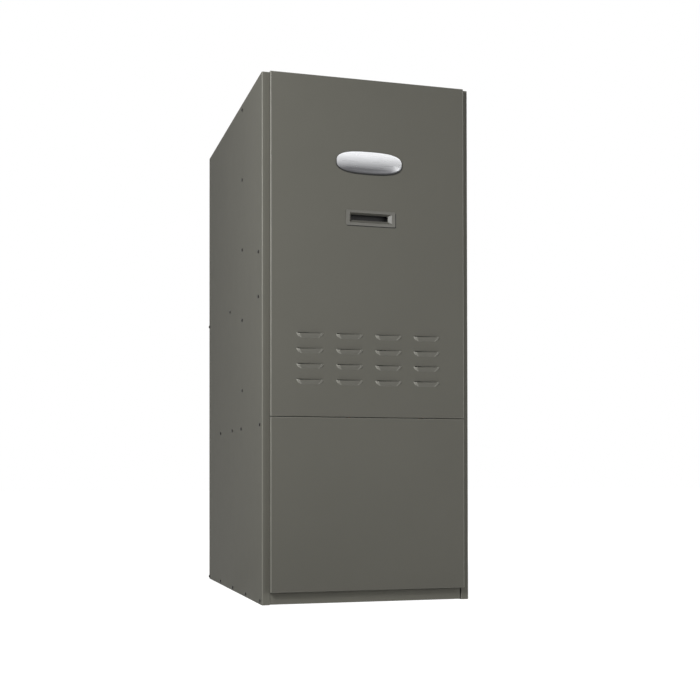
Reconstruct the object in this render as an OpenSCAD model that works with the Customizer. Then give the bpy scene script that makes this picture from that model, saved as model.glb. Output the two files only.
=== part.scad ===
// Upflow oil furnace with a rear flue: casing, pull-off doors, blower, heat exchanger, burner and controls.
// The origin is on the floor under the middle of the casing. +X is right, +Y is to the rear, +Z is up.
// Depths named ..._y are measured back from the front flange of the casing.

/* [Casing] */
// Width of the casing
casing_w = 565; // [545:1:620]
// Height of the casing
casing_h = 1372; // [1350:1:1480]
// Depth of the casing, from its front flange to its rear edge
casing_d = 850; // [830:1:930]
// Thickness of the casing sheet
sheet = 1.2; // [0.9:0.1:1.6]
// Outer radius of a bend in the sheet
bend_r = 2.5; // [1.8:0.1:3.5]
// Width of the front flange of each side
front_flange = 21; // [19:0.5:24]
// Depth of the lip that turns back behind the front flange
return_lip = 12; // [8:0.5:16]
// Width of the flanges that the inner panels are screwed by
inner_flange = 20; // [16:1:26]
// Height of the rail under the lower door
rail_h = 33; // [26:0.5:36]
// Gap at the right end of the bottom rail, and at both ends of the panels' front folds
rail_gap = 3.5; // [1:0.5:6]
// Gap at the left end of the bottom rail
rail_gap_left = 0.5; // [0.3:0.1:6]
// Height at which the rear panel is split
rear_split_z = 568; // [520:1:640]
// Width of the duct flange round the supply opening
duct_flange = 26; // [20:1:40]
// Play between parts that fit together
fit = 0.05; // [0.02:0.01:0.1]

/* [Doors] */
// How far the doors stand in front of the casing
door_proud = 19; // [16:0.5:24]
// Width of casing flange that shows beside each door
door_margin = 18.5; // [16:0.5:20]
// Height of the split between the doors
door_split_z = 483.5; // [478:0.5:500]
// Gap between the doors
door_gap = 1.5; // [1:0.5:4]
// Gap above the upper door
door_top_gap = 2; // [0:0.5:6]
// Width of the lip that turns in round the back of a door
door_lip = 15; // [12:0.5:20]
// Play between a closed door and the casing
door_play = 0.3; // [0.2:0.05:0.6]
// Radius of the studs that hold a door in its catches
stud_r = 3; // [2:0.1:4]
// Length of the studs
stud_len = 18; // [14:1:24]
// Distance of a stud from the top or bottom edge of its door
stud_inset = 55; // [40:1:90]

/* [Louvres] */
// Number of louvres across
louvre_cols = 4; // [2:1:4]
// Number of louvres down
louvre_rows = 4; // [1:1:5]
// Width of a louvre
louvre_w = 71; // [50:1:90]
// Height of a louvre
louvre_h = 14; // [10:0.5:24]
// How far a louvre stands out of the door
louvre_proud = 7; // [4:0.5:10]
// Distance between louvres across
louvre_pitch_x = 106; // [95:1:120]
// How far the louvres stand left of the middle of the door
louvre_left = 1.5; // [0:0.5:10]
// Distance between louvres down
louvre_pitch_z = 40; // [30:1:45]
// Height of the top edge of the upper row
louvre_top_z = 701; // [690:1:760]

/* [Pull and badge] */
// Width of the frame of the recessed pull
pull_w = 135; // [130:1:160]
// Height of the frame of the recessed pull
pull_h = 40; // [36:1:50]
// Distance of the middle of the pull below the top of the casing
pull_drop = 367; // [330:1:400]
// How far the pull stands right of the middle of the door
pull_right = 3.5; // [0:0.5:10]
// Width of the slot of the pull
slot_w = 101; // [85:1:106]
// How far the slot stands left of the middle of the pull
slot_left = 1.5; // [0:0.5:4]
// How far the slot stands above the middle of the pull
slot_up = 2.5; // [0:0.5:3]
// Height of the slot of the pull
slot_h = 14; // [12:0.5:16]
// Depth of the recess behind the door face
pull_depth = 26; // [20:1:34]
// Width of the plain badge
badge_w = 180; // [120:1:200]
// Height of the plain badge
badge_h = 60; // [40:1:70]
// Distance of the middle of the badge below the top of the casing
badge_drop = 222.5; // [180:0.5:250]
// Thickness of the badge
badge_t = 6; // [4:0.5:9]

/* [Frame] */
// Height of the deck between the blower and the burner
deck_z = 474; // [466:1:480]
// Depth of the panel behind the burner
vestibule_y = 260; // [250:1:280]
// Thickness of the insulation boards
board_t = 12; // [6:1:18]
// Radius of the casing screws
screw_r = 2; // [1.5:0.1:2.5]
// Length of the casing screws
screw_len = 8; // [6:0.5:10]
// Radius of the conduit and oil-line holes in the right side
entry_r = 11.1; // [8:0.1:14]

/* [Heat exchanger] */
// Outer radius of the primary drum
drum_r = 190; // [170:1:200]
// Depth of the middle of both drums
drum_y = 540; // [520:1:560]
// Height of the bottom of the primary drum
drum_z = 500; // [490:1:520]
// Clear height above the secondary drum
head_room = 122; // [110:1:140]
// Outer radius of the secondary drum
radiator_r = 205; // [190:1:215]
// Height of the secondary drum
radiator_h = 190; // [180:1:205]
// Gap between the two drums
drum_gap = 60; // [40:1:80]
// Thickness of the drum plate
plate = 2; // [1.5:0.1:3]
// Height of the combustion chamber liner
chamber_h = 240; // [215:1:270]
// Thickness of the combustion chamber liner
chamber_t = 28; // [20:1:32]
// Gap between the primary drum and its radiation shield
shield_gap = 18; // [12:0.5:22]
// Outer radius of the flue collar
flue_r = 76.2; // [63.5:0.1:80]
// How far the flue collar stands out behind the casing
flue_out = 45; // [30:1:80]
// Outer radius of the clean-out pipes
cleanout_r = 45; // [35:1:50]
// Distance between the clean-out pipes
cleanout_pitch = 220; // [180:1:230]
// Height of the observation port
port_z = 830; // [820:1:860]
// Outer radius of the observation port
port_r = 22; // [16:1:28]

/* [Burner] */
// Height of the axis of the burner tube
burner_z = 675; // [665:1:690]
// Outer radius of the burner tube
tube_r = 51; // [46:0.5:54]
// Width of the burner housing
housing_w = 96; // [90:1:104]
// Radius of the round part of the burner housing
housing_r = 82; // [78:1:86]
// Depth of the axis of the burner fan
fan_y = 140; // [132:1:144]
// How far the fan axis lies below the tube axis
fan_drop = 50; // [46:1:56]
// Radius of the burner fan
fan_r = 64; // [58:1:68]
// Thickness of the walls of the burner housing
cast_t = 3; // [2.5:0.1:4]
// Radius of the burner motor
burner_motor_r = 66; // [58:1:70]
// Length of the burner motor
burner_motor_l = 118; // [100:1:140]

/* [Blower] */
// Radius of the blower wheel
wheel_r = 127; // [115:1:132]
// Width of the blower wheel
wheel_w = 254; // [230:1:260]
// Depth of the blower axis
blower_y = 520; // [500:1:560]
// Height of the blower axis
blower_z = 250; // [245:1:262]
// Radius of the scroll where it starts, at the cut-off
scroll_r0 = 138; // [134:1:142]
// Radius of the scroll where it ends, at the outlet
scroll_r1 = 200; // [190:1:210]
// Radius of the blower motor
blower_motor_r = 70; // [60:1:75]
// Length of the blower motor
blower_motor_l = 140; // [120:1:160]
// Width of the filter
filter_w = 400; // [380:1:410]
// Depth of the filter, front to rear
filter_l = 500; // [460:1:510]
// Thickness of the filter
filter_t = 25; // [20:1:30]
// Depth of the front edge of the filter
filter_y = 150; // [150:1:170]

/* [Hidden] */
$fn = 48;

// Depth behind the front flange, as a Y value
function back(d) = d - casing_d / 2;

// Faces inside the casing
side_in = casing_w / 2 - sheet;
lip_in = casing_w / 2 - front_flange;
plate_y = return_lip + 1;
rear_in_y = casing_d - sheet;
notch_y = rear_in_y - inner_flange - 1;
rail_x = lip_in - rail_gap;
deck_top = deck_z + sheet;
top_z = casing_h - sheet;
flange_h = 22;
chamber_y = vestibule_y + sheet;

// Casing screws as pairs of depth and height
base_screw_y = [25, 220, 420, 629];
deck_screw_y = [27, 286, 428, 629];
base_screws = [for (y = base_screw_y) [y, 9]];
deck_screws = [for (y = deck_screw_y) [y, deck_z - 10]];
column_low = deck_z + 96;
column_high = casing_h - 17;
column_count = 5;
column_y = vestibule_y + inner_flange / 2;
column_pitch = (column_high - column_low) / (column_count - 1);
column_screws = [for (i = [0 : column_count - 1]) [column_y, column_low + i * column_pitch]];
rear_screws = [[casing_d - 8, 8], [casing_d - 8, 820]];
bracket_at = [462, 816];
control_screws = [[43, 798], [43, 915]];
shared_screws = concat(base_screws, deck_screws, column_screws, rear_screws, [bracket_at]);

// Doors
door_w = casing_w - 2 * door_margin;
door_front = -door_proud;
upper_z = door_split_z + door_gap / 2;
upper_h = casing_h - door_top_gap - upper_z;
lower_h = door_split_z - door_gap / 2 - rail_h;
catch_w = 14;
stud_x = lip_in - catch_w / 2;
stud_z = [
  rail_h + stud_inset, rail_h + lower_h - stud_inset, upper_z + stud_inset, upper_z + upper_h - stud_inset
];

// Pull and badge
pull_z = casing_h - pull_drop;
slot_x = pull_right - slot_left;
slot_z = pull_z + slot_up;
badge_z = casing_h - badge_drop;

// Heat exchanger
radiator_z = casing_h - head_room - radiator_h;
drum_h = radiator_z - drum_gap - drum_z;
radiator_mid = radiator_z + radiator_h / 2;
corner_r = 30;
rim_r = 12;
neck_r = tube_r + 12;
cross_r = 42;
cross_x = 95;
cleanout_out = 8;
flue_pipe_r = flue_r - 1.5;
flue_hole_play = 4;

// Burner
fan_z = burner_z - fan_drop;
half_w = housing_w / 2;
neck_top = burner_z + tube_r + 6;
neck_end = fan_y + housing_r + 4;
neck_front = fan_y - 50;
gasket_t = 3;
flange_t = 5;
flange_front = vestibule_y - gasket_t - flange_t;
tube_end = chamber_y + 88;
flange_w = 170;
bolt_at = 68;
bolt_r = 4;
boss_r = 30;
boss_l = 6;
shaft_r = 6;
hinge_r = 4;
hinge_pin_r = 2;
hinge_x = half_w + hinge_r + 1;
igniter_gap = 0.3;
hinge_y = fan_y + 12;
hinge_z = neck_top + igniter_gap + hinge_r;
knuckle_l = 45;

// Blower
housing_half = wheel_w / 2 + 13;
cutoff_a = 75;
inlet_r = wheel_r - 17;
rail_leg_z = deck_z - 15;
outlet_y0 = blower_y + scroll_r0 * cos(cutoff_a);
outlet_y1 = blower_y + scroll_r1;
blower_shaft_r = 6.35;

// Filter
ledge_z = rail_h + 3;
filter_z = ledge_z + 0.3;
rack_x = filter_w / 2 + 1;

// Switch worked by the lower door, beside the blower's rail
rail_web_x = housing_half + 26;
switch_w = 24;
switch_gap = 20.8;
switch_at = [rail_web_x + sheet + switch_gap + switch_w / 2, deck_z - 14];
plunger_r = 3.5;
plunger_tip = -3;

module block(low, high) { translate(low) cube(high - low); }

module rod_x(r, x0, x1) { translate([x0, 0, 0]) rotate([0, 90, 0]) cylinder(r = r, h = x1 - x0); }

module rod_y(r, y0, y1) { translate([0, y0, 0]) rotate([-90, 0, 0]) cylinder(r = r, h = y1 - y0); }

// Extrudes a shape drawn in Y and Z along X, centred
module across(w) { translate([-w / 2, 0, 0]) rotate([90, 0, 90]) linear_extrude(w) children(); }

// Extrudes a shape drawn in X and Z from depth y0 to y1
module deep(y0, y1) { translate([0, y1, 0]) rotate([90, 0, 0]) linear_extrude(y1 - y0) children(); }

module both_sides() {
  for (m = [0, 1]) mirror([m, 0, 0]) children();
}

// A bend of the sheet, round the origin, in the quadrant of -x and -y
module quarter_bend() {
  intersection() {
    difference() {
      circle(bend_r);
      circle(bend_r - sheet);
    }
    translate([-bend_r, -bend_r]) square(bend_r);
  }
}

// A rectangle with rounded corners, round the origin
module rounded_rect(w, h, r) {
  square([w - 2 * r, h], center = true);
  square([w, h - 2 * r], center = true);
  for (x = [-1, 1], y = [-1, 1])
    translate([x * (w / 2 - r), y * (h / 2 - r)]) circle(r);
}

module screw_bores(points) {
  both_sides()
    for (p = points)
      translate([-casing_w / 2, back(p[0]), p[1]]) rod_x(screw_r + fit, -1, screw_len + 1);
}

// Plan of one side: outer sheet, front flange and the lip behind it
module side_plan() {
  translate([0, bend_r]) square([sheet, casing_d - bend_r]);
  translate([bend_r, bend_r]) quarter_bend();
  translate([bend_r, 0]) square([front_flange - 2 * bend_r, sheet]);
  translate([front_flange - bend_r, bend_r]) mirror([1, 0]) quarter_bend();
  translate([front_flange - sheet, bend_r]) square([sheet, return_lip - bend_r]);
}

module side_panel() {
  difference() {
    translate([-casing_w / 2, back(0), 0]) linear_extrude(casing_h) side_plan();
    screw_bores(shared_screws);
  }
}

module left_side() {
  color("#67665e") difference() {
    side_panel();
    screw_bores(control_screws);
  }
}

conduit_at = [150, 1050];
oil_entry_at = [140, 530];

module right_side() {
  color("#67665e") difference() {
    mirror([1, 0, 0]) side_panel();
    for (p = [conduit_at, oil_entry_at])
      translate([0, back(p[0]), p[1]]) rod_x(entry_r, side_in - 1, casing_w / 2 + 1);
  }
}

// Plan of a plate between the sides, notched for the flanges of the rear panels
module plate_plan() {
  translate([-side_in, back(plate_y)]) square([2 * side_in, notch_y - plate_y]);
  inner = side_in - sheet - 0.3;
  translate([-inner, back(plate_y)]) square([2 * inner, rear_in_y - plate_y]);
}

module side_flanges(y0, y1, z0, z1) {
  both_sides() block([-side_in, back(y0), z0], [-side_in + sheet, back(y1), z1]);
}

return_margin = 30;

module base_pan() {
  color("#8c8c88") difference() {
    union() {
      linear_extrude(sheet) plate_plan();
      side_flanges(plate_y, notch_y, 0, flange_h - 2);
      block([-rail_x, back(plate_y), 0], [rail_x, back(plate_y + sheet), rail_h - sheet]);
    }
    block(
      [-filter_w / 2 + return_margin, back(filter_y + return_margin), -1],
      [filter_w / 2 - return_margin, back(filter_y + filter_l - return_margin), sheet + 1]
    );
    screw_bores(base_screws);
  }
}

module bottom_rail() {
  foot = 1.5;
  left = lip_in - rail_gap_left;
  color("#5f5d55") union() {
    block([-left, back(0), foot], [rail_x, back(sheet), rail_h - bend_r]);
    translate([(rail_x - left) / 2, 0, 0])
      across(left + rail_x) translate([back(bend_r), rail_h - bend_r]) mirror([0, 1]) quarter_bend();
    block([-left, back(bend_r), rail_h - sheet], [rail_x, back(plate_y), rail_h]);
    block([-left, back(plate_y - sheet), foot], [rail_x, back(plate_y), rail_h - sheet]);
  }
}

module blower_deck() {
  color("#8c8c88") difference() {
    union() {
      translate([0, 0, deck_z]) linear_extrude(sheet) plate_plan();
      side_flanges(plate_y, notch_y, deck_z - flange_h, deck_z);
      block([-rail_x, back(plate_y), deck_z - flange_h], [rail_x, back(plate_y + sheet), deck_z]);
    }
    block(
      [-housing_half, back(outlet_y0), deck_z - 1],
      [housing_half, back(outlet_y1), deck_top + 1]
    );
    translate([switch_at[0], 0, switch_at[1]])
      rod_y(plunger_r + 1, back(plate_y) - 1, back(plate_y + sheet) + 1);
    screw_bores(deck_screws);
  }
}

limit_at = [185, casing_h - 412];
probe_r = 4;

module at_bolts() {
  for (x = [-1, 1], z = [-1, 1]) translate([x * bolt_at, 0, burner_z + z * bolt_at]) children();
}

module bolt_holes(y0, y1) { at_bolts() rod_y(bolt_r + fit, back(y0) - 1, back(y1) + 1); }

module vestibule_panel() {
  y0 = back(vestibule_y);
  color("#9a9a96") difference() {
    union() {
      block([-side_in, y0, deck_top], [side_in, y0 + sheet, top_z]);
      side_flanges(vestibule_y, vestibule_y + inner_flange, deck_top, top_z);
    }
    translate([0, 0, burner_z]) rod_y(tube_r + 2, y0 - 1, y0 + sheet + 1);
    translate([0, 0, port_z]) rod_y(port_r + fit, y0 - 1, y0 + sheet + 1);
    both_sides()
      translate([cleanout_pitch / 2, 0, radiator_mid]) rod_y(cleanout_r + fit, y0 - 1, y0 + sheet + 1);
    translate([limit_at[0], 0, limit_at[1]]) rod_y(probe_r + fit, y0 - 1, y0 + sheet + 1);
    bolt_holes(vestibule_y, chamber_y);
    screw_bores(column_screws);
  }
}

module top_panel() {
  opening_x = side_in - duct_flange;
  color("#67665e") difference() {
    union() {
      translate([0, 0, top_z]) linear_extrude(sheet) plate_plan();
      block([-rail_x, back(1), top_z], [rail_x, back(plate_y), casing_h]);
      block([-rail_x, back(1), casing_h - rail_h], [rail_x, back(1 + sheet), top_z]);
      side_flanges(plate_y, vestibule_y - 1, top_z - flange_h, top_z);
      side_flanges(vestibule_y + inner_flange + 1, notch_y, top_z - flange_h, top_z);
    }
    block(
      [-opening_x, back(vestibule_y + duct_flange), top_z - 1],
      [opening_x, back(rear_in_y - duct_flange), casing_h + 1]
    );
  }
}

module rear_panel(z0, z1) {
  block([-side_in, back(rear_in_y), z0], [side_in, back(casing_d), z1]);
  side_flanges(rear_in_y - inner_flange, rear_in_y, z0, z1);
}

module rear_lower_panel() {
  color("#67665e") difference() {
    rear_panel(0, rear_split_z);
    screw_bores(rear_screws);
  }
}

module rear_upper_panel() {
  color("#67665e") difference() {
    rear_panel(rear_split_z + 0.5, casing_h);
    translate([0, 0, radiator_mid]) rod_y(flue_r + flue_hole_play, back(rear_in_y) - 1, back(casing_d) + 1);
    screw_bores(rear_screws);
  }
}

// A hexagon-headed screw along +X, with its washer face at x = 0
module casing_screw() {
  head_r = 4.2;
  rod_x(head_r + 0.8, -0.8, 0);
  translate([-3, 0, 0]) rotate([0, 90, 0]) cylinder(r = head_r, h = 2.2, $fn = 6);
  rod_x(screw_r, 0, screw_len);
}

module casing_screws() {
  color("#3c3c39") {
    both_sides()
      for (p = shared_screws) translate([-casing_w / 2, back(p[0]), p[1]]) casing_screw();
    for (p = control_screws) translate([-casing_w / 2, back(p[0]), p[1]]) casing_screw();
  }
}

catch_h = 20;

module door_catches() {
  color("#b4b4b0")
    both_sides()
      for (z = stud_z)
        difference() {
          block(
            [stud_x - catch_w / 2, back(1), z - catch_h / 2],
            [lip_in, back(return_lip), z + catch_h / 2]
          );
          translate([stud_x, 0, z]) rod_y(stud_r + 0.3, back(0), back(plate_y));
        }
}

window = [70, 90];

module side_liners() {
  y0 = vestibule_y + inner_flange + 2;
  color("#c9c9c4")
    both_sides()
      difference() {
        block([-side_in, back(y0), deck_top], [-side_in + board_t, back(notch_y), top_z - flange_h - 1]);
        block(
          [-side_in - 1, back(bracket_at[0] - window[0] / 2), bracket_at[1] - window[1] / 2],
          [-side_in + board_t + 1, back(bracket_at[0] + window[0] / 2), bracket_at[1] + window[1] / 2]
        );
      }
}

module rear_liner() {
  x = side_in - board_t - 2;
  color("#c9c9c4") difference() {
    block([-x, back(rear_in_y - board_t), deck_top], [x, back(rear_in_y), top_z - flange_h - 1]);
    translate([0, 0, radiator_mid]) rod_y(flue_r + 10, back(rear_in_y - board_t) - 1, back(casing_d));
  }
}

// A closed drum with rounded rims, standing on z = 0
module drum_form(r, h, rim) {
  rotate_extrude() {
    square([r - rim, h]);
    translate([0, rim]) square([r, h - 2 * rim]);
    for (z = [rim, h - rim]) translate([r - rim, z]) circle(rim);
  }
}

module at_drums(z) { translate([0, back(drum_y), z]) children(); }

module heat_exchanger() {
  pipe_end = drum_y - drum_r / 2;
  ring_r = neck_r + 12;
  ring_t = 4;
  color("#6f6a66") difference() {
    union() {
      at_drums(drum_z) drum_form(drum_r, drum_h, corner_r);
      translate([0, 0, burner_z]) rod_y(neck_r, back(chamber_y), back(pipe_end));
      translate([0, 0, burner_z]) rod_y(ring_r, back(chamber_y), back(chamber_y + ring_t));
      translate([0, 0, port_z]) rod_y(port_r, back(vestibule_y), back(pipe_end));
    }
    at_drums(drum_z + plate) drum_form(drum_r - plate, drum_h - 2 * plate, corner_r - plate);
    translate([0, 0, burner_z]) rod_y(neck_r - plate, back(chamber_y) - 1, back(pipe_end) + 1);
    translate([0, 0, port_z]) rod_y(port_r - plate, back(vestibule_y) - 1, back(pipe_end) + 1);
    for (s = [-1, 1])
      translate([s * cross_x, back(drum_y), drum_z + drum_h / 2]) cylinder(r = cross_r + fit, h = drum_h);
    bolt_holes(chamber_y, chamber_y + ring_t);
  }
}

module combustion_chamber() {
  outer = drum_r - plate - 0.3;
  low = drum_z + corner_r;
  color("#d8d2c4") difference() {
    at_drums(low) cylinder(r = outer, h = chamber_h);
    at_drums(low + chamber_t) cylinder(r = outer - chamber_t, h = chamber_h);
    translate([0, 0, burner_z]) rod_y(tube_r + 6, back(drum_y - drum_r), back(drum_y));
  }
}

module radiator() {
  pipe_end = drum_y - radiator_r / 2;
  color("#6f6a66") difference() {
    union() {
      at_drums(radiator_z) drum_form(radiator_r, radiator_h, rim_r);
      both_sides()
        translate([cleanout_pitch / 2, 0, radiator_mid])
          rod_y(cleanout_r, back(vestibule_y - cleanout_out), back(pipe_end));
    }
    at_drums(radiator_z + plate) drum_form(radiator_r - plate, radiator_h - 2 * plate, rim_r - plate);
    both_sides()
      translate([cleanout_pitch / 2, 0, radiator_mid])
        rod_y(cleanout_r - plate, back(vestibule_y - cleanout_out) - 1, back(pipe_end) + 1);
    for (s = [-1, 1])
      translate([s * cross_x, back(drum_y), radiator_z - 1]) cylinder(r = cross_r + fit, h = radiator_h / 2);
    translate([0, 0, radiator_mid]) rod_y(flue_pipe_r + fit, back(drum_y), back(drum_y + radiator_r + 1));
  }
}

module crossovers() {
  reach = 8;
  color("#6f6a66")
    for (s = [-1, 1])
      translate([s * cross_x, back(drum_y), drum_z + drum_h - plate - reach])
        difference() {
          union() {
            cylinder(r = cross_r, h = drum_gap + 2 * (plate + reach));
            translate([0, 0, plate + reach]) cylinder(r = cross_r + 4, h = drum_gap);
          }
          translate([0, 0, -1]) cylinder(r = cross_r - plate, h = drum_gap + 2 * (plate + reach) + 2);
        }
}

// Pipe from the secondary drum, a plate that closes the hole in the rear panel, and the collar behind it
module flue_collar() {
  inner_end = drum_y + sqrt(pow(radiator_r, 2) - pow(flue_pipe_r, 2)) - plate - 8;
  color("#a9a9a5") translate([0, 0, radiator_mid]) difference() {
    union() {
      rod_y(flue_pipe_r, back(inner_end), back(casing_d));
      rod_y(flue_r + flue_hole_play + 18, back(casing_d), back(casing_d + sheet));
      rod_y(flue_r, back(casing_d + sheet), back(casing_d + flue_out));
    }
    rod_y(flue_pipe_r - sheet, back(inner_end) - 1, back(casing_d + flue_out) + 1);
  }
}

cover_t = 3;
cover_stud_r = 3;

module cleanout_covers() {
  y1 = vestibule_y - cleanout_out;
  color("#7d7a75")
    both_sides()
      translate([cleanout_pitch / 2, 0, radiator_mid]) {
        rod_y(cleanout_r + 8, back(y1 - cover_t), back(y1));
        rod_y(cleanout_r - plate - 1, back(y1), back(y1 + 12));
        rod_y(cover_stud_r, back(y1 - cover_t - 18), back(y1 - cover_t));
      }
}

module cleanout_nuts() {
  y1 = vestibule_y - cleanout_out - cover_t;
  color("#c2bfae")
    both_sides()
      translate([cleanout_pitch / 2, back(y1 - 8), radiator_mid])
        difference() {
          union() {
            rod_y(8, 0, 8);
            block([-20, 1, -4], [20, 5, 4]);
          }
          rod_y(cover_stud_r + fit, -1, 9);
        }
}

module exchanger_brackets() {
  foot_w = 50;
  foot_h = 60;
  strap_t = 3;
  y0 = back(bracket_at[0] - foot_w / 2);
  y1 = back(bracket_at[0] + foot_w / 2);
  z0 = bracket_at[1] - foot_h / 2;
  color("#8c8c88")
    both_sides()
      difference() {
        union() {
          block([-side_in, y0, z0], [-side_in + strap_t, y1, z0 + foot_h]);
          block([-side_in, y0, z0], [0, y1, z0 + strap_t]);
        }
        at_drums(0) cylinder(r = drum_r, h = casing_h);
        screw_bores([bracket_at]);
      }
}

module radiation_shield() {
  shield_r = drum_r + shield_gap;
  low = drum_z + 70;
  tall = drum_h - 100;
  front_y = bracket_at[0] + 40;
  color("#b0b0ac") difference() {
    union() {
      at_drums(low) difference() {
        cylinder(r = shield_r, h = tall);
        translate([0, 0, -1]) cylinder(r = shield_r - 1, h = tall + 2);
      }
      for (a = [10, 90, 170], z = [low + 30, low + tall - 60])
        at_drums(z) rotate([0, 0, a]) block([drum_r - 5, -10, 0], [shield_r - 0.5, 10, 20]);
    }
    at_drums(0) cylinder(r = drum_r, h = casing_h);
    block([-casing_w / 2, back(0), 0], [casing_w / 2, back(front_y), casing_h]);
  }
}

module limit_control() {
  color("#33312e") translate([limit_at[0], 0, limit_at[1]]) {
    block([-22, back(vestibule_y - 30), -34], [22, back(vestibule_y), 34]);
    rod_y(probe_r, back(vestibule_y), back(vestibule_y + 75));
  }
}

port_pin = [0, port_z + port_r + 12];
port_pin_r = 2.5;
flap_t = 2;
flap_gap = 0.3;
frame_t = 3;

module port_frame() {
  face = vestibule_y - frame_t;
  head = face - flap_t - 2 * flap_gap;
  color("#9a9a96") difference() {
    union() {
      deep(back(face), back(vestibule_y))
        translate([0, port_z + 4]) rounded_rect(2 * port_r + 24, 2 * port_r + 40, 8);
      translate([port_pin[0], 0, port_pin[1]]) {
        rod_y(port_pin_r, back(head - 1), back(face));
        rod_y(port_pin_r + 2, back(head - 4), back(head));
      }
    }
    translate([0, 0, port_z]) rod_y(port_r - plate, back(face) - 1, back(vestibule_y) + 1);
  }
}

module observation_cover() {
  y1 = back(vestibule_y - frame_t - flap_gap);
  y0 = y1 - flap_t;
  arm_w = 16;
  knob_r = 3;
  knob_l = 8;
  color("#5b5955") difference() {
    union() {
      translate([0, 0, port_z]) rod_y(port_r + 2, y0, y1);
      translate([port_pin[0], 0, port_pin[1]]) rod_y(arm_w / 2 + 1, y0, y1);
      block([-arm_w / 2, y0, port_z], [arm_w / 2, y1, port_pin[1]]);
      translate([0, 0, port_z - port_r + 6]) rod_y(knob_r, y0 - knob_l, y0);
    }
    translate([port_pin[0], 0, port_pin[1]]) rod_y(port_pin_r + fit, y0 - 1, y1 + 1);
  }
}

module at_fan() { translate([0, back(fan_y), fan_z]) children(); }

module housing_form(grow) {
  at_fan() rod_x(housing_r - grow, -half_w + grow, half_w - grow);
  block(
    [-half_w + grow, back(neck_front) + grow, fan_z],
    [half_w - grow, back(neck_end) - grow, neck_top - grow]
  );
}

shutter_hole_r = 7;
shutter_hole_at = 46;

// Six air holes round the fan axis
module air_holes(x0, x1, turn) {
  for (a = [0 : 60 : 300])
    at_fan() rotate([a + turn, 0, 0]) translate([0, 0, shutter_hole_at]) rod_x(shutter_hole_r, x0, x1);
}

module burner_housing() {
  ear_l = 10;
  ear_mid = knuckle_l / 2 + ear_l / 2 + 1;
  window_half = [28, 30];
  color("#9b9c9d") difference() {
    union() {
      housing_form(0);
      at_fan() rod_x(boss_r, -half_w - boss_l, -half_w);
      for (s = [-1, 1])
        translate([0, back(hinge_y) + s * ear_mid - ear_l / 2, 0]) {
          translate([hinge_x, 0, hinge_z]) rod_y(hinge_r, 0, ear_l);
          block([half_w - 1, 0, hinge_z - 14], [hinge_x + 2, ear_l, hinge_z - 2]);
        }
      translate([hinge_x, back(hinge_y), hinge_z]) rod_y(hinge_pin_r, -ear_mid, ear_mid);
    }
    housing_form(cast_t);
    at_fan() rod_x(boss_r - 10, -half_w - boss_l - 1, 0);
    at_fan() rod_x(shaft_r + 6, 0, half_w + 1);
    air_holes(-half_w - 1, -half_w + cast_t + 1, 0);
    translate([0, 0, burner_z]) rod_y(tube_r + fit, back(neck_end) - cast_t - 1, back(neck_end) + 1);
    block(
      [-window_half[0], back(fan_y - window_half[1]), neck_top - cast_t - 1],
      [window_half[0], back(fan_y + window_half[1]), neck_top + 1]
    );
    translate([0, back(nozzle_y), burner_z]) rod_x(line_r + fit, -half_w - 1, 0);
  }
}

module burner_flange() {
  color("#8c8c88") difference() {
    deep(back(flange_front), back(flange_front + flange_t))
      translate([0, burner_z]) rounded_rect(flange_w, flange_w, 20);
    translate([0, 0, burner_z]) rod_y(tube_r + fit, back(flange_front) - 1, back(vestibule_y));
    bolt_holes(flange_front, vestibule_y);
  }
}

module burner_gasket() {
  color("#e4e0d6") difference() {
    deep(back(vestibule_y - gasket_t), back(vestibule_y))
      translate([0, burner_z]) rounded_rect(flange_w - 4, flange_w - 4, 18);
    translate([0, 0, burner_z]) rod_y(tube_r + 1, back(flange_front), back(vestibule_y) + 1);
    bolt_holes(flange_front, vestibule_y);
  }
}

module air_tube() {
  color("#9fa0a0") translate([0, 0, burner_z]) difference() {
    rod_y(tube_r, back(neck_end - cast_t), back(tube_end));
    rod_y(tube_r - 1.5, back(neck_end - cast_t) - 1, back(tube_end) + 1);
  }
}

module retention_head() {
  vanes = 8;
  hole_r = 14;
  rim_in = tube_r - 3;
  color("#b9b4a8") translate([0, back(tube_end), burner_z]) rotate([-90, 0, 0]) difference() {
    rotate_extrude()
      polygon([
        [hole_r, -12], [rim_in, -2], [rim_in, 0], [tube_r, 0],
        [tube_r, 3], [rim_in - 1, 3], [hole_r, -9]
      ]);
    for (a = [0 : 360 / vanes : 359])
      rotate([0, 0, a]) translate([20, -1, -20]) cube([20, 2, 40]);
  }
}

line_r = 5;
nozzle_y = fan_y + sqrt(pow(fan_r + line_r + 5, 2) - pow(fan_drop, 2));

module nozzle_line() {
  tip = tube_end - 16;
  color("#b88a4a") translate([0, 0, burner_z]) {
    rod_y(line_r, back(nozzle_y), back(tip - 22));
    translate([0, back(tip - 22), 0]) rotate([-90, 0, 0]) cylinder(r = 9, h = 14, $fn = 6);
    rod_y(6, back(tip - 8), back(tip));
    translate([0, back(nozzle_y), 0]) {
      sphere(line_r);
      rod_x(line_r, -half_w - 16, 0);
      translate([-half_w - 9, 0, 0]) rotate([0, 90, 0]) cylinder(r = 9, h = 9, $fn = 6);
    }
  }
}

electrode_x = 13;
electrode_z = 18;

module electrodes() {
  y0 = neck_end + 20;
  tip = tube_end - 12;
  color("#ded8c8") translate([0, 0, burner_z]) {
    difference() {
      block([-24, back(y0 + 20), -12], [24, back(y0 + 24), 28]);
      rod_y(line_r + fit, back(y0), back(y0 + 40));
    }
    for (s = [-1, 1])
      translate([s * electrode_x, 0, electrode_z]) {
        rod_y(6.5, back(y0 - 30), back(y0 + 20));
        rod_y(6.5, back(y0 + 24), back(tip - 18));
        rod_y(1.2, back(y0 - 60), back(y0 - 30));
        rod_y(1.2, back(tip - 18), back(tip));
      }
  }
}

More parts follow.
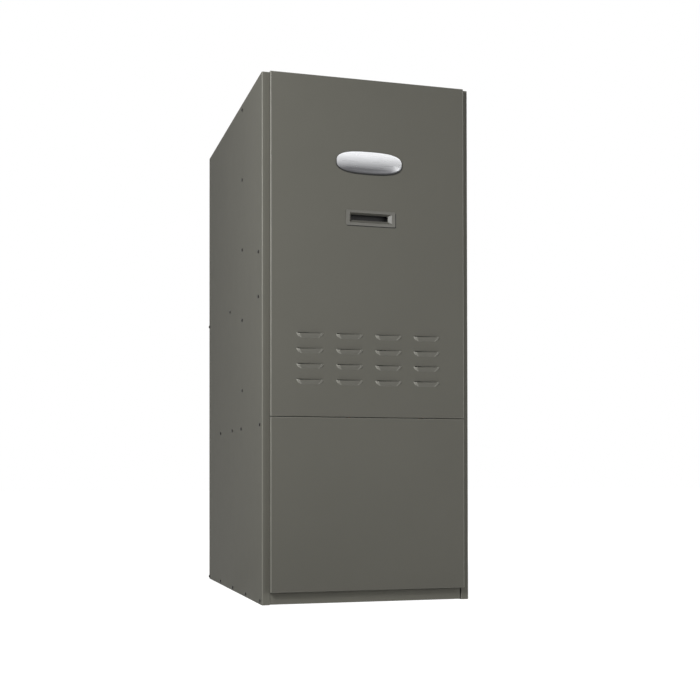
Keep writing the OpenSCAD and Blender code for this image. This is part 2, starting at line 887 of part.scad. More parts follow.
module burner_motor() {
  color("#2f3236") at_fan() difference() {
    union() {
      rod_x(burner_motor_r + 8, half_w, half_w + 6);
      rod_x(burner_motor_r, half_w + 6, half_w + burner_motor_l - 10);
      rod_x(burner_motor_r - 8, half_w + burner_motor_l - 10, half_w + burner_motor_l);
      block([half_w + 30, -25, burner_motor_r - 6], [half_w + 90, 25, burner_motor_r + 16]);
    }
    rod_x(shaft_r + fit, half_w - 1, half_w + 26);
  }
}

module fuel_pump() {
  x1 = -half_w - boss_l;
  color("#7c7f82") at_fan() difference() {
    union() {
      rod_x(27, x1 - 8, x1);
      block([x1 - 58, -32, -36], [x1 - 8, 32, 36]);
      translate([x1 - 33, 0, 36]) cylinder(r = 9, h = 12);
      translate([x1 - 33, 0, -46]) cylinder(r = 9, h = 10, $fn = 6);
      rod_x(16, x1 - 66, x1 - 58);
    }
    rod_x(shaft_r + fit, x1 - 20, x1 + 1);
  }
}

oil_r = 4.8;
oil_x = -half_w - boss_l - 33;
oil_turn = 24;

module oil_line() {
  z0 = oil_entry_at[1];
  z1 = fan_z - 46;
  end_x = side_in - 60;
  color("#b87333") translate([0, back(fan_y), 0]) {
    translate([oil_x, 0, z0 + oil_turn]) cylinder(r = oil_r, h = z1 - z0 - oil_turn);
    translate([oil_x + oil_turn, 0, z0 + oil_turn])
      rotate([90, 0, 0]) rotate([0, 0, 180])
        rotate_extrude(angle = 90) translate([oil_turn, 0]) circle(oil_r);
    translate([0, 0, z0]) rod_x(oil_r, oil_x + oil_turn, end_x);
    translate([end_x, 0, z0]) rotate([0, 90, 0]) cylinder(r = 9, h = 14, $fn = 6);
    for (x = [-20, end_x - 30])
      block([x, -6, deck_top], [x + 12, 6, z0 - oil_r]);
  }
}

module flame_sensor() {
  y0 = back(fan_y + 42);
  y1 = back(fan_y + 66);
  roof = neck_top - cast_t;
  color("#5a4a3a") {
    block([-8, y0, roof - 6], [8, y1, roof]);
    translate([0, 0, roof - 12]) rod_y(6.5, y0, y1);
  }
}

module burner_bolts() {
  head_t = 6;
  color("#c0c0bb")
    at_bolts() {
      translate([0, back(flange_front), 0]) rotate([90, 0, 0]) cylinder(r = 7.5, h = head_t, $fn = 6);
      rod_y(bolt_r, back(flange_front), back(chamber_y + 10));
    }
}

control_x1 = -half_w - 14;
control_x0 = control_x1 - 88;
control_y0 = neck_front + 4;
control_z0 = neck_top - 34;
reset_at = [control_x0 + 24, control_z0 + 60];
button_r = 6;

module primary_control() {
  size = [90, 84];
  bracket_in = 10;
  color("#3a3d42") difference() {
    union() {
      block(
        [control_x0, back(control_y0), control_z0],
        [control_x1, back(control_y0 + size[0]), control_z0 + size[1]]
      );
      block(
        [control_x1, back(control_y0 + bracket_in), control_z0 + 4],
        [-half_w, back(control_y0 + size[0] - bracket_in), neck_top - 14]
      );
    }
    translate([reset_at[0], 0, reset_at[1]])
      rod_y(button_r + 0.3, back(control_y0) - 1, back(control_y0 + 10));
  }
}

module reset_button() {
  travel = 3;
  color("#c0392b") translate([reset_at[0], 0, reset_at[1]])
    rod_y(button_r, back(control_y0 - travel - 2), back(control_y0 + 10 - travel - 0.3));
}

box_y = [34, 184];
box_z = [785, 930];
box_x = 66;

module control_box() {
  x0 = -side_in;
  color("#8c8c88") difference() {
    block([x0, back(box_y[0]), box_z[0]], [x0 + box_x, back(box_y[1]), box_z[1]]);
    block(
      [x0 + sheet, back(box_y[0] + sheet), box_z[0] + sheet],
      [x0 + box_x + 1, back(box_y[1] - sheet), box_z[1] - sheet]
    );
    screw_bores(control_screws);
    translate([x0 + box_x / 2, back(box_y[1] - 30), box_z[0] - 1]) cylinder(r = 10, h = 4);
  }
}

module circuit_board() {
  x0 = -side_in + sheet;
  y = [box_y[0] + 26, box_y[1] - 12];
  z = [box_z[0] + 18, box_z[1] - 18];
  post_l = 12;
  face_x = x0 + post_l + 1.6;
  relay_pitch = 32;
  color("#2f6b3c") {
    block([x0 + post_l, back(y[0]), z[0]], [face_x, back(y[1]), z[1]]);
    for (yy = [y[0] + 6, y[1] - 6], zz = [z[0] + 6, z[1] - 6])
      translate([x0, back(yy), zz]) rod_x(3, 0, post_l);
    for (i = [0 : 2])
      translate([0, i * relay_pitch, 0])
        block([face_x, back(y[0] + 12), z[0] + 14], [face_x + 20, back(y[0] + 34), z[0] + 42]);
    block([face_x, back(y[0] + 10), z[1] - 24], [face_x + 12, back(y[1] - 10), z[1] - 8]);
  }
}

transformer_at = [-185, casing_h - 362];

module transformer() {
  y1 = vestibule_y;
  color("#2f3236") translate([transformer_at[0], 0, transformer_at[1]]) {
    block([-40, back(y1 - 2), -32], [40, back(y1), 32]);
    block([-26, back(y1 - 48), -28], [26, back(y1 - 2), 28]);
    block([-32, back(y1 - 38), -18], [32, back(y1 - 12), 18]);
  }
}

switch_depth = 34;

module door_switch() {
  y0 = plate_y + sheet;
  color("#e0ddd2") translate([switch_at[0], 0, switch_at[1]]) difference() {
    block([-switch_w / 2, back(y0), -16], [switch_w / 2, back(y0 + switch_depth), 13]);
    rod_y(plunger_r + 0.3, back(y0) - 1, back(y0 + switch_depth - 4));
  }
}

module switch_plunger() {
  color("#b03a2e") translate([switch_at[0], 0, switch_at[1]])
    rod_y(plunger_r, back(plunger_tip), back(plate_y + sheet + switch_depth - 4.3));
}

// Outline of the scroll in depth and height, drawn in by the amount inset
function scroll_points(inset) = concat(
  [for (i = [0 : 30])
    let (a = cutoff_a + i * (360 - cutoff_a) / 30, r = scroll_r0 + (scroll_r1 - scroll_r0) * i / 30 - inset)
      [blower_y + r * cos(a), blower_z + r * sin(a)]],
  [[outlet_y1 - inset, deck_z], [outlet_y0 + inset, deck_z]]
);

module scroll(inset) {
  translate([back(0), 0]) polygon(scroll_points(inset));
}

module blower_housing() {
  skin = 1;
  color("#a8aaab") difference() {
    union() {
      across(2 * housing_half) scroll(0);
      both_sides()
        block(
          [housing_half - skin, back(outlet_y0 + 5), rail_leg_z + sheet],
          [housing_half + 24, back(outlet_y1 - 5), rail_leg_z + 2 * sheet]
        );
    }
    across(2 * (housing_half - skin)) scroll(skin);
    block(
      [-housing_half + skin, back(outlet_y0 + skin), deck_z - 40],
      [housing_half - skin, back(outlet_y1 - skin), deck_z + 1]
    );
    translate([0, back(blower_y), blower_z]) rod_x(inlet_r, -housing_half - 1, housing_half + 1);
  }
}

module blower_rails() {
  leg_x = housing_half + 8;
  y0 = 20;
  y1 = notch_y - 40;
  color("#8c8c88")
    both_sides() {
      block([leg_x, back(y0), rail_leg_z], [rail_web_x + sheet, back(y1), rail_leg_z + sheet]);
      block([rail_web_x, back(y0), rail_leg_z], [rail_web_x + sheet, back(y1), deck_z]);
    }
}

module at_blower() { translate([0, back(blower_y), blower_z]) children(); }

motor_x1 = -30;
motor_x0 = motor_x1 - blower_motor_l;

module blower_motor() {
  color("#2f3236") at_blower() difference() {
    union() {
      rod_x(blower_motor_r, motor_x0 + 8, motor_x1 - 6);
      rod_x(blower_motor_r - 10, motor_x0, motor_x0 + 8);
      rod_x(blower_motor_r - 20, motor_x1 - 6, motor_x1);
    }
    rod_x(blower_shaft_r + fit, motor_x1 - 70, motor_x1 + 1);
  }
}

module motor_mount() {
  band_x = [-housing_half - 10, -housing_half + 14];
  arm_t = 5;
  color("#8c8c88") at_blower() {
    difference() {
      rod_x(blower_motor_r + 2, band_x[0], band_x[1]);
      rod_x(blower_motor_r, band_x[0] - 1, band_x[1] + 1);
    }
    for (a = [30, 150, 270])
      rotate([a, 0, 0])
        block([-housing_half - arm_t, -8, blower_motor_r + 1], [-housing_half, 8, inlet_r + 16]);
  }
}

module capacitor() {
  can_r = 20;
  x0 = housing_half;
  color("#c8c8c4") translate([x0, back(blower_y - 70), blower_z - 150]) {
    translate([can_r + 2, 0, 0]) cylinder(r = can_r, h = 75);
    block([0, -can_r - 8, 20], [2, can_r + 8, 45]);
    block([0, -can_r / 2, 22], [can_r, can_r / 2, 43]);
  }
}

module filter_rack() {
  web_z = filter_z + filter_t + 1;
  y1 = filter_y + filter_l;
  color("#8c8c88") {
    both_sides() {
      block([rack_x, back(plate_y + 20), sheet], [rack_x + sheet, back(y1), web_z]);
      block([rack_x - 14, back(plate_y + 20), ledge_z - sheet], [rack_x, back(y1), ledge_z]);
      block([rack_x, back(plate_y + 20), sheet], [rack_x + 14, back(y1), 2 * sheet]);
    }
    block([-rack_x - sheet, back(y1 + 0.3), sheet], [rack_x + sheet, back(y1 + 0.3 + sheet), web_z]);
  }
}

module air_filter() {
  border = 22;
  pleats = 12;
  low = [-filter_w / 2, back(filter_y), filter_z];
  high = [filter_w / 2, back(filter_y + filter_l), filter_z + filter_t];
  pleat_w = (filter_w - 2 * border) / pleats;
  color("#e6e3da") {
    difference() {
      block(low, high);
      block(low + [border, border, -1], high + [-border, -border, 1]);
    }
    for (i = [0 : pleats - 1])
      translate([low[0] + border + (i + 0.5) * pleat_w, back(filter_y + border), filter_z + 1])
        translate([0, filter_l - 2 * border, 0]) rotate([90, 0, 0]) linear_extrude(filter_l - 2 * border)
          polygon([
            [-pleat_w / 2, 0], [0, filter_t - 5], [pleat_w / 2, 0],
            [pleat_w / 2, 3], [0, filter_t - 2], [-pleat_w / 2, 3]
          ]);
  }
}

// Tilted blades round the X axis, as a shape in Y and Z
module blade_ring(count, r, chord, thick, tilt) {
  for (i = [0 : count - 1])
    rotate(i * 360 / count) translate([r, 0]) rotate(tilt) square([chord, thick], center = true);
}

module burner_fan() {
  fan_x = [-24, 26];
  blades = 24;
  chord = 16;
  color("#b9bcbf") at_fan() {
    translate([(fan_x[0] + fan_x[1]) / 2, 0, 0])
      across(fan_x[1] - fan_x[0] - 2) blade_ring(blades, fan_r - chord / 2, chord, 1.2, 25);
    rod_x(fan_r + 1, fan_x[1] - 2, fan_x[1]);
    difference() {
      rod_x(fan_r + 1, fan_x[0], fan_x[0] + 3);
      rod_x(fan_r - 12, fan_x[0] - 1, fan_x[0] + 4);
    }
    rod_x(14, 0, fan_x[1]);
    rod_x(shaft_r, -half_w - boss_l - 18, half_w + 24);
  }
}

module igniter() {
  y0 = neck_front + 4;
  y1 = neck_end - 8;
  low = neck_top + igniter_gap;
  base_t = 3;
  case_h = 63;
  color("#2b2b2b") difference() {
    union() {
      block([-half_w, back(y0), low], [half_w - 1.5, back(y1), low + base_t]);
      block([-half_w + 5, back(y0 + 6), low + base_t], [half_w - 8, back(y1 - 6), low + base_t + case_h]);
      translate([hinge_x, back(hinge_y), 0]) {
        block([-hinge_r - 3, -knuckle_l / 2, low], [0, knuckle_l / 2, low + base_t]);
        translate([0, 0, hinge_z]) rod_y(hinge_r, -knuckle_l / 2, knuckle_l / 2);
      }
      for (s = [-1, 1]) translate([s * electrode_x, back(fan_y), low - 14]) cylinder(r = 4, h = 15);
    }
    translate([hinge_x, back(hinge_y), hinge_z]) rod_y(hinge_pin_r + fit, -knuckle_l, knuckle_l);
  }
}

module air_shutter() {
  x1 = -half_w - 0.3;
  thick = 1.5;
  turn = 14;
  color("#8c8c88") difference() {
    union() {
      at_fan() rod_x(boss_r + 30, x1 - thick, x1);
      at_fan() rotate([turn - 30, 0, 0]) block([x1 - 9, -6, boss_r + 20], [x1 - thick / 2, 6, boss_r + 27]);
    }
    at_fan() rod_x(boss_r + fit, x1 - 10, x1 + 1);
    air_holes(x1 - 10, x1 + 1, turn);
  }
}

wheel_ring_w = 6;
wheel_plate_t = 2;

// The middle plate with its hub and shaft, and the ring at each end
module blower_wheel() {
  ring_depth = 13;
  hub_r = 22;
  hub_l = 40;
  shaft_end = 24;
  color("#b9bcbf") at_blower() {
    for (s = [-1, 1])
      translate([s * (wheel_w - wheel_ring_w) / 2, 0, 0]) difference() {
        rod_x(wheel_r + 1, -wheel_ring_w / 2, wheel_ring_w / 2);
        rod_x(wheel_r + 1 - ring_depth, -wheel_ring_w, wheel_ring_w);
      }
    rod_x(wheel_r - 1, -wheel_plate_t / 2, wheel_plate_t / 2);
    rod_x(hub_r, -hub_l / 2, hub_l / 2);
    rod_x(blower_shaft_r, motor_x1 - 66, shaft_end);
  }
}

// The blades, one row from the plate to each ring
module wheel_blades() {
  blades = 36;
  chord = 22;
  thick = 1.2;
  tilt = 35;
  row_l = (wheel_w - wheel_plate_t) / 2 - wheel_ring_w;
  color("#b9bcbf") at_blower()
    for (s = [-1, 1])
      translate([s * (wheel_plate_t + row_l) / 2, 0, 0])
        across(row_l) blade_ring(blades, wheel_r - chord / 2, chord, thick, tilt);
}

// Shape in plan with its two front corners rounded, from y = 0 to y = d
module round_front(w, d, r) {
  translate([-w / 2, r]) square([w, d - r]);
  translate([-w / 2 + r, 0]) square([w - 2 * r, d]);
  for (s = [-1, 1]) translate([s * (w / 2 - r), r]) circle(r);
}

module pan_form(w, h, d, r) {
  intersection() {
    linear_extrude(h) round_front(w, d, r);
    translate([-w / 2, 0, h / 2]) rotate([0, 90, 0]) linear_extrude(w) round_front(h, d, r);
  }
}

// A folded door: face, four sides, and a lip turned in round its back
module door_pan(h) {
  d = door_proud - door_play;
  difference() {
    pan_form(door_w, h, d, bend_r);
    translate([0, sheet, sheet]) pan_form(door_w - 2 * sheet, h - 2 * sheet, d - 2 * sheet, bend_r - sheet);
    block([-door_w / 2 + door_lip, d / 2, door_lip], [door_w / 2 - door_lip, d + 1, h - door_lip]);
  }
}

module door_studs(levels) {
  both_sides()
    for (z = levels) translate([stud_x, 0, z]) rod_y(stud_r, back(-door_play - sheet / 2), back(stud_len));
}

// A pressed louvre, flush at its foot and proud at its open top edge
module louvre_form(w, h, proud, y1) {
  half = w / 2;
  end_slope = 6;
  foot_in = 14;
  intersection() {
    across(w) polygon([[y1, 0], [0, 0], [-proud, h], [y1, h]]);
    deep(-proud - 1, y1) polygon([[-half + foot_in, 0], [half - foot_in, 0], [half, h], [-half, h]]);
    linear_extrude(h)
      polygon([
        [-half, y1], [half, y1], [half, 0],
        [half - end_slope, -proud], [-half + end_slope, -proud], [-half, 0]
      ]);
  }
}

module each_louvre() {
  x0 = -louvre_left - (louvre_cols - 1) * louvre_pitch_x / 2;
  z0 = louvre_top_z - upper_z - louvre_h;
  for (c = [0 : louvre_cols - 1], r = [0 : louvre_rows - 1])
    translate([x0 + c * louvre_pitch_x, 0, z0 - r * louvre_pitch_z]) children();
}

cup_w = slot_w + 20;
cup_h = slot_h + 14;

module upper_door() {
  open_h = louvre_h + 1;
  color("#625f57") union() {
    translate([0, back(door_front), upper_z]) difference() {
      union() {
        door_pan(upper_h);
        each_louvre() louvre_form(louvre_w, louvre_h, louvre_proud, sheet);
      }
      each_louvre()
        translate([0, sheet, 0])
          louvre_form(louvre_w - 2 * sheet, open_h, louvre_proud * open_h / louvre_h, sheet);
      block(
        [slot_x - cup_w / 2 - 0.3, -1, slot_z - upper_z - cup_h / 2 - 0.3],
        [slot_x + cup_w / 2 + 0.3, sheet + 1, slot_z - upper_z + cup_h / 2 + 0.3]
      );
    }
    door_studs([stud_z[2], stud_z[3]]);
  }
}

module lower_door() {
  tab_w = 24;
  z = switch_at[1];
  color("#625f57") union() {
    translate([0, back(door_front), rail_h]) door_pan(lower_h);
    door_studs([stud_z[0], stud_z[1]]);
    block(
      [switch_at[0] - tab_w / 2, back(door_front + sheet / 2), z - 7],
      [switch_at[0] + tab_w / 2, back(plunger_tip - 0.3), z + 5]
    );
  }
}

// A mouth that narrows evenly from one rectangle to another
module taper(w0, h0, w1, h1, y0, y1) {
  intersection() {
    translate([0, 0, -h0]) linear_extrude(2 * h0)
      polygon([[-w0 / 2, y0], [w0 / 2, y0], [w1 / 2, y1], [-w1 / 2, y1]]);
    across(2 * w0) polygon([[y0, -h0 / 2], [y0, h0 / 2], [y1, h1 / 2], [y1, -h1 / 2]]);
  }
}

module door_pull() {
  rim_t = 2;
  mouth_y = 8;
  wall = 2;
  mouth_w = slot_w + 15;
  mouth_h = slot_h + 11;
  color("#5c594f") translate([slot_x, back(door_front), slot_z]) difference() {
    union() {
      translate([slot_left, 0, -slot_up]) deep(-rim_t, 0) rounded_rect(pull_w, pull_h, 3);
      block([-cup_w / 2, -rim_t / 2, -cup_h / 2], [cup_w / 2, pull_depth, cup_h / 2]);
    }
    taper(mouth_w + 1, mouth_h + 1, slot_w, slot_h, -rim_t - 1, mouth_y);
    block([-slot_w / 2, mouth_y - 1, -slot_h / 2], [slot_w / 2, pull_depth - wall, slot_h / 2]);
    block([-slot_w / 2, mouth_y + 2, -slot_h / 2], [slot_w / 2, pull_depth - wall, cup_h / 2 - wall]);
  }
}

// Outline of the badge: fuller than an ellipse
function oval_points(w, h, power = 2.8) = [
  for (a = [0 : 5 : 355])
    [
      w / 2 * sign(cos(a)) * pow(abs(cos(a)), 2 / power),
      h / 2 * sign(sin(a)) * pow(abs(sin(a)), 2 / power)
    ]
];

module badge() {
  rim_t = badge_t / 3;
  slice = 0.2;
  color("#b9bbbd") translate([0, back(door_front), badge_z]) {
    deep(-rim_t, 0) polygon(oval_points(badge_w, badge_h));
    hull() {
      deep(-rim_t - slice, -rim_t) polygon(oval_points(badge_w - 4, badge_h - 4));
      deep(-badge_t * 0.8, -badge_t * 0.8 + slice) polygon(oval_points(badge_w * 0.86, badge_h * 0.72));
      deep(-badge_t, -badge_t + slice) polygon(oval_points(badge_w * 0.6, badge_h * 0.4));
    }
  }
}

left_side();
right_side();
base_pan();
bottom_rail();
blower_deck();
vestibule_panel();
top_panel();
rear_lower_panel();
rear_upper_panel();
casing_screws();
door_catches();
side_liners();
rear_liner();
heat_exchanger();
combustion_chamber();
radiator();
crossovers();
flue_collar();
cleanout_covers();
cleanout_nuts();
exchanger_brackets();
radiation_shield();
limit_control();
port_frame();
burner_housing();
burner_flange();
burner_gasket();
air_tube();
retention_head();
nozzle_line();
electrodes();
burner_motor();
fuel_pump();
oil_line();
flame_sensor();
burner_bolts();
primary_control();
control_box();
circuit_board();
transformer();
door_switch();
blower_housing();
blower_motor();
motor_mount();
blower_rails();
capacitor();
filter_rack();
burner_fan();
igniter();
reset_button();
air_shutter();
blower_wheel();
wheel_blades();
observation_cover();
switch_plunger();
air_filter();
upper_door();
door_pull();
badge();
lower_door();
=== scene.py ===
"""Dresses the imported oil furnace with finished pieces, materials and a plain studio."""

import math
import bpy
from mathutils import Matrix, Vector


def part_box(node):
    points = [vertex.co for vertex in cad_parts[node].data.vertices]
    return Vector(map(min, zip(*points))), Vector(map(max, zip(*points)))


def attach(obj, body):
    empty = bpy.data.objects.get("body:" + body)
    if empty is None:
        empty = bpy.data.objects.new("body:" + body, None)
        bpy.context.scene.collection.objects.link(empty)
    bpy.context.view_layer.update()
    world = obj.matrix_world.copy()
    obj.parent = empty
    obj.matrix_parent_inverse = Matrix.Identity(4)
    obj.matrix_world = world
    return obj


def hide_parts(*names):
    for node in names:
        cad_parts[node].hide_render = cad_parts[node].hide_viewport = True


bl_info = {
    "name": "Oil Furnace",
    "version": (1, 0, 0),
    "blender": (4, 5, 0),
    "location": "View3D > Sidebar > Oil Furnace",
    "description": "Finished pieces, materials and a studio for the packed oil furnace",
    "category": "Add Mesh",
}

import bmesh
import bpy
from mathutils import Euler, Matrix, Vector

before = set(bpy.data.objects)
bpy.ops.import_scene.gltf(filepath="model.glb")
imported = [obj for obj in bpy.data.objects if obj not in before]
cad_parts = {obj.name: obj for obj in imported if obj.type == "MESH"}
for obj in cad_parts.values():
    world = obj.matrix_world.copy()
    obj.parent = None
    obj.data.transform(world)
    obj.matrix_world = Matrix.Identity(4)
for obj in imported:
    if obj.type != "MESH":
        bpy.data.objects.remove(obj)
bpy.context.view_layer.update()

MM = 0.001

# Points closer than this are one point
SAME_POINT = 0.001 * MM

# Room between the door and what sits on its face
CLEAR = 0.1 * MM

# Corner radius of the cup behind the finger slot and of the hole in the gasket
CUP_CORNER = 2 * MM

# The rise of a louvre's open edge as a share of its height, with room for rounding
OPEN_EDGE = 1.0001


def srgb(red, green, blue):
    """A colour written as 0 to 255 on a screen, as Blender's linear values."""

    def linear(value):
        part = value / 255
        return part / 12.92 if part <= 0.04045 else ((part + 0.055) / 1.055) ** 2.4

    return linear(red), linear(green), linear(blue)


# Sizes and colours that a user may change


def length(name, description, default):
    """A property that holds a length in metres."""
    return bpy.props.FloatProperty(
        name=name, description=description, default=default, unit="LENGTH", precision=4
    )


def rotation(name, description, default):
    """A property that holds an angle in radians."""
    return bpy.props.FloatProperty(name=name, description=description, default=default, subtype="ANGLE")


def power(name, description, default):
    """A property that holds a lamp's power in watts."""
    return bpy.props.FloatProperty(name=name, description=description, default=default, unit="POWER")


def share(name, description, default):
    """A property that holds a share from 0 to 1."""
    return bpy.props.FloatProperty(
        name=name, description=description, default=default, subtype="FACTOR", min=0, max=1
    )


def plain_number(name, description, default):
    """A property that holds a plain number."""
    return bpy.props.FloatProperty(name=name, description=description, default=default)


def whole_number(name, description, default, least=1):
    """A property that holds a whole number."""
    return bpy.props.IntProperty(name=name, description=description, default=default, min=least)


def colour(name, description, default):
    """A property that holds a colour in linear values."""
    return bpy.props.FloatVectorProperty(
        name=name, description=description, default=default, subtype="COLOR", size=3, min=0, max=1
    )


class FurnacePaint(bpy.types.PropertyGroup):
    casing: colour("Casing", "Colour of the baked enamel on the casing", srgb(104, 103, 95))
    # The doors' colour is the casing's enamel made darker, a painted shade.
    door: colour("Doors", "Colour of the baked enamel on the doors", srgb(94, 93, 86))
    # The corner and fold colours are painted highlights: lighter enamel on the folds in place of the lamps'
    # reflections on them.
    corner: colour("Corners", "Colour of the highlight enamel on the casing's corners", srgb(132, 131, 123))
    fold: colour("Folds", "Colour of the highlight enamel on the folds of the doors", srgb(150, 149, 141))
    roughness: share("Roughness", "How satin the enamel is", 0.72)
    peel: length("Orange peel", "Height of the ripple in the enamel", 0.00004)


class FurnaceDoor(bpy.types.PropertyGroup):
    sheet: length("Sheet", "Thickness of the door sheet", 1.2 * MM)
    bend: length("Bend", "Outer radius of a fold", 2.5 * MM)
    lip: length("Lip", "Width of the lip round the back", 15 * MM)
    bend_steps: whole_number("Bend steps", "Facets in a fold", 5, least=2)


class FurnaceLouvre(bpy.types.PropertyGroup):
    columns: whole_number("Columns", "Louvres across", 4)
    rows: whole_number("Rows", "Louvres down", 4)
    width: length("Width", "Width of a louvre", 71 * MM)
    height: length("Height", "Height of a louvre", 14 * MM)
    proud: length("Proud", "How far the open edge stands out", 7 * MM)
    across: length("Pitch across", "Distance between louvres across", 106 * MM)
    left: length("Left", "How far the louvres stand left of the middle", 1.5 * MM)
    down: length("Pitch down", "Distance between louvres down", 40 * MM)
    top: length("Top", "Height of the upper row's open edge", 701 * MM)
    foot_in: length("Foot", "How far the foot is shorter than the open edge, each end", 14 * MM)
    end_run: length("End slope", "Width of the slope at each end", 6 * MM)
    gap_left: length("Gap left", "Height of the slit at the left end of the open edge", 3 * MM)
    gap_right: length("Gap right", "Height of the slit at the right end of the open edge", 1.2 * MM)


class FurnacePull(bpy.types.PropertyGroup):
    slot_width: length("Slot width", "Width of the finger slot", 101 * MM)
    slot_height: length("Slot height", "Height of the finger slot", 14 * MM)
    slot_left: length("Slot left", "How far the slot stands left of the frame's middle", 1.5 * MM)
    slot_up: length("Slot up", "How far the slot stands above the frame's middle", 2.5 * MM)
    mouth: length("Mouth", "How far the mouth is wider than the slot, each side", 7 * MM)
    mouth_rise: length("Mouth rise", "How far the mouth is taller than the slot, each side", 5.5 * MM)
    mouth_aside: length("Mouth aside", "How far the mouth stands right of and below the slot", 2 * MM)
    mouth_depth: length("Mouth depth", "Depth of the tapered mouth", 6 * MM)
    # The gasket is a painted shadow: a black sheet that shows below and right of the frame.
    gasket: length("Gasket", "How far the gasket shows below and right of the frame", 1.6 * MM)
    edge: length("Edge", "Radius of the moulded edges", 0.8 * MM)
    colour: colour("Colour", "Colour of the moulded pull", srgb(94, 93, 87))


class FurnaceBadge(bpy.types.PropertyGroup):
    fullness: plain_number("Fullness", "2 is an ellipse, more is fuller", 2.8)
    rim: length("Rim", "Width of the bright rim", 2.4 * MM)
    # The light top and dark foot are painted light and painted shade, in place of the reflections on the
    # domed face.
    light: colour("Light", "Colour of the plain face at its top", srgb(240, 241, 243))
    dark: colour("Dark", "Colour of the plain face at its foot", srgb(84, 84, 86))


class FurnaceStudio(bpy.types.PropertyGroup):
    lens: bpy.props.FloatProperty(name="Lens", description="Focal length", default=59.7, unit="CAMERA")
    rise: plain_number("Rise", "Lens shift upwards", 0.1613)
    place: bpy.props.FloatVectorProperty(
        name="Camera",
        description="Where the camera stands",
        default=(-0.8825, -3.344, 0.3225),
        subtype="TRANSLATION",
    )
    turn: rotation("Turn", "Camera's turn to the right", 0.2784)
    tilt: rotation("Tilt", "Camera's tilt upwards", 0.0141)
    roll: rotation("Roll", "Camera's roll", -0.0014)
    key: power("Key", "Power of the lamp at the left", 51.0)
    fill: power("Fill", "Power of the lamp at the right", 36.0)
    rear: power("Rear", "Power of the lamp behind", 34.0)
    sky: share("Sky", "Strength of the light from all round", 0.06)


# Node materials

# Where noise has most of its values
NOISE_RANGE = (0.3, 0.7)


def add_node(tree, kind, inputs=None, **settings):
    """Adds a node with its settings; each input takes a value, or a link where it is a socket."""
    made = tree.nodes.new(kind)
    for name, value in settings.items():
        setattr(made, name, value)
    for name, value in (inputs or {}).items():
        if isinstance(value, bpy.types.NodeSocket):
            tree.links.new(value, made.inputs[name])
        else:
            made.inputs[name].default_value = value
    return made


def full_colour(value):
    """A colour, or a number as a grey, with its alpha; a socket stays as it is."""
    if isinstance(value, bpy.types.NodeSocket):
        return value
    return (*value, 1) if isinstance(value, tuple) else (value, value, value, 1)


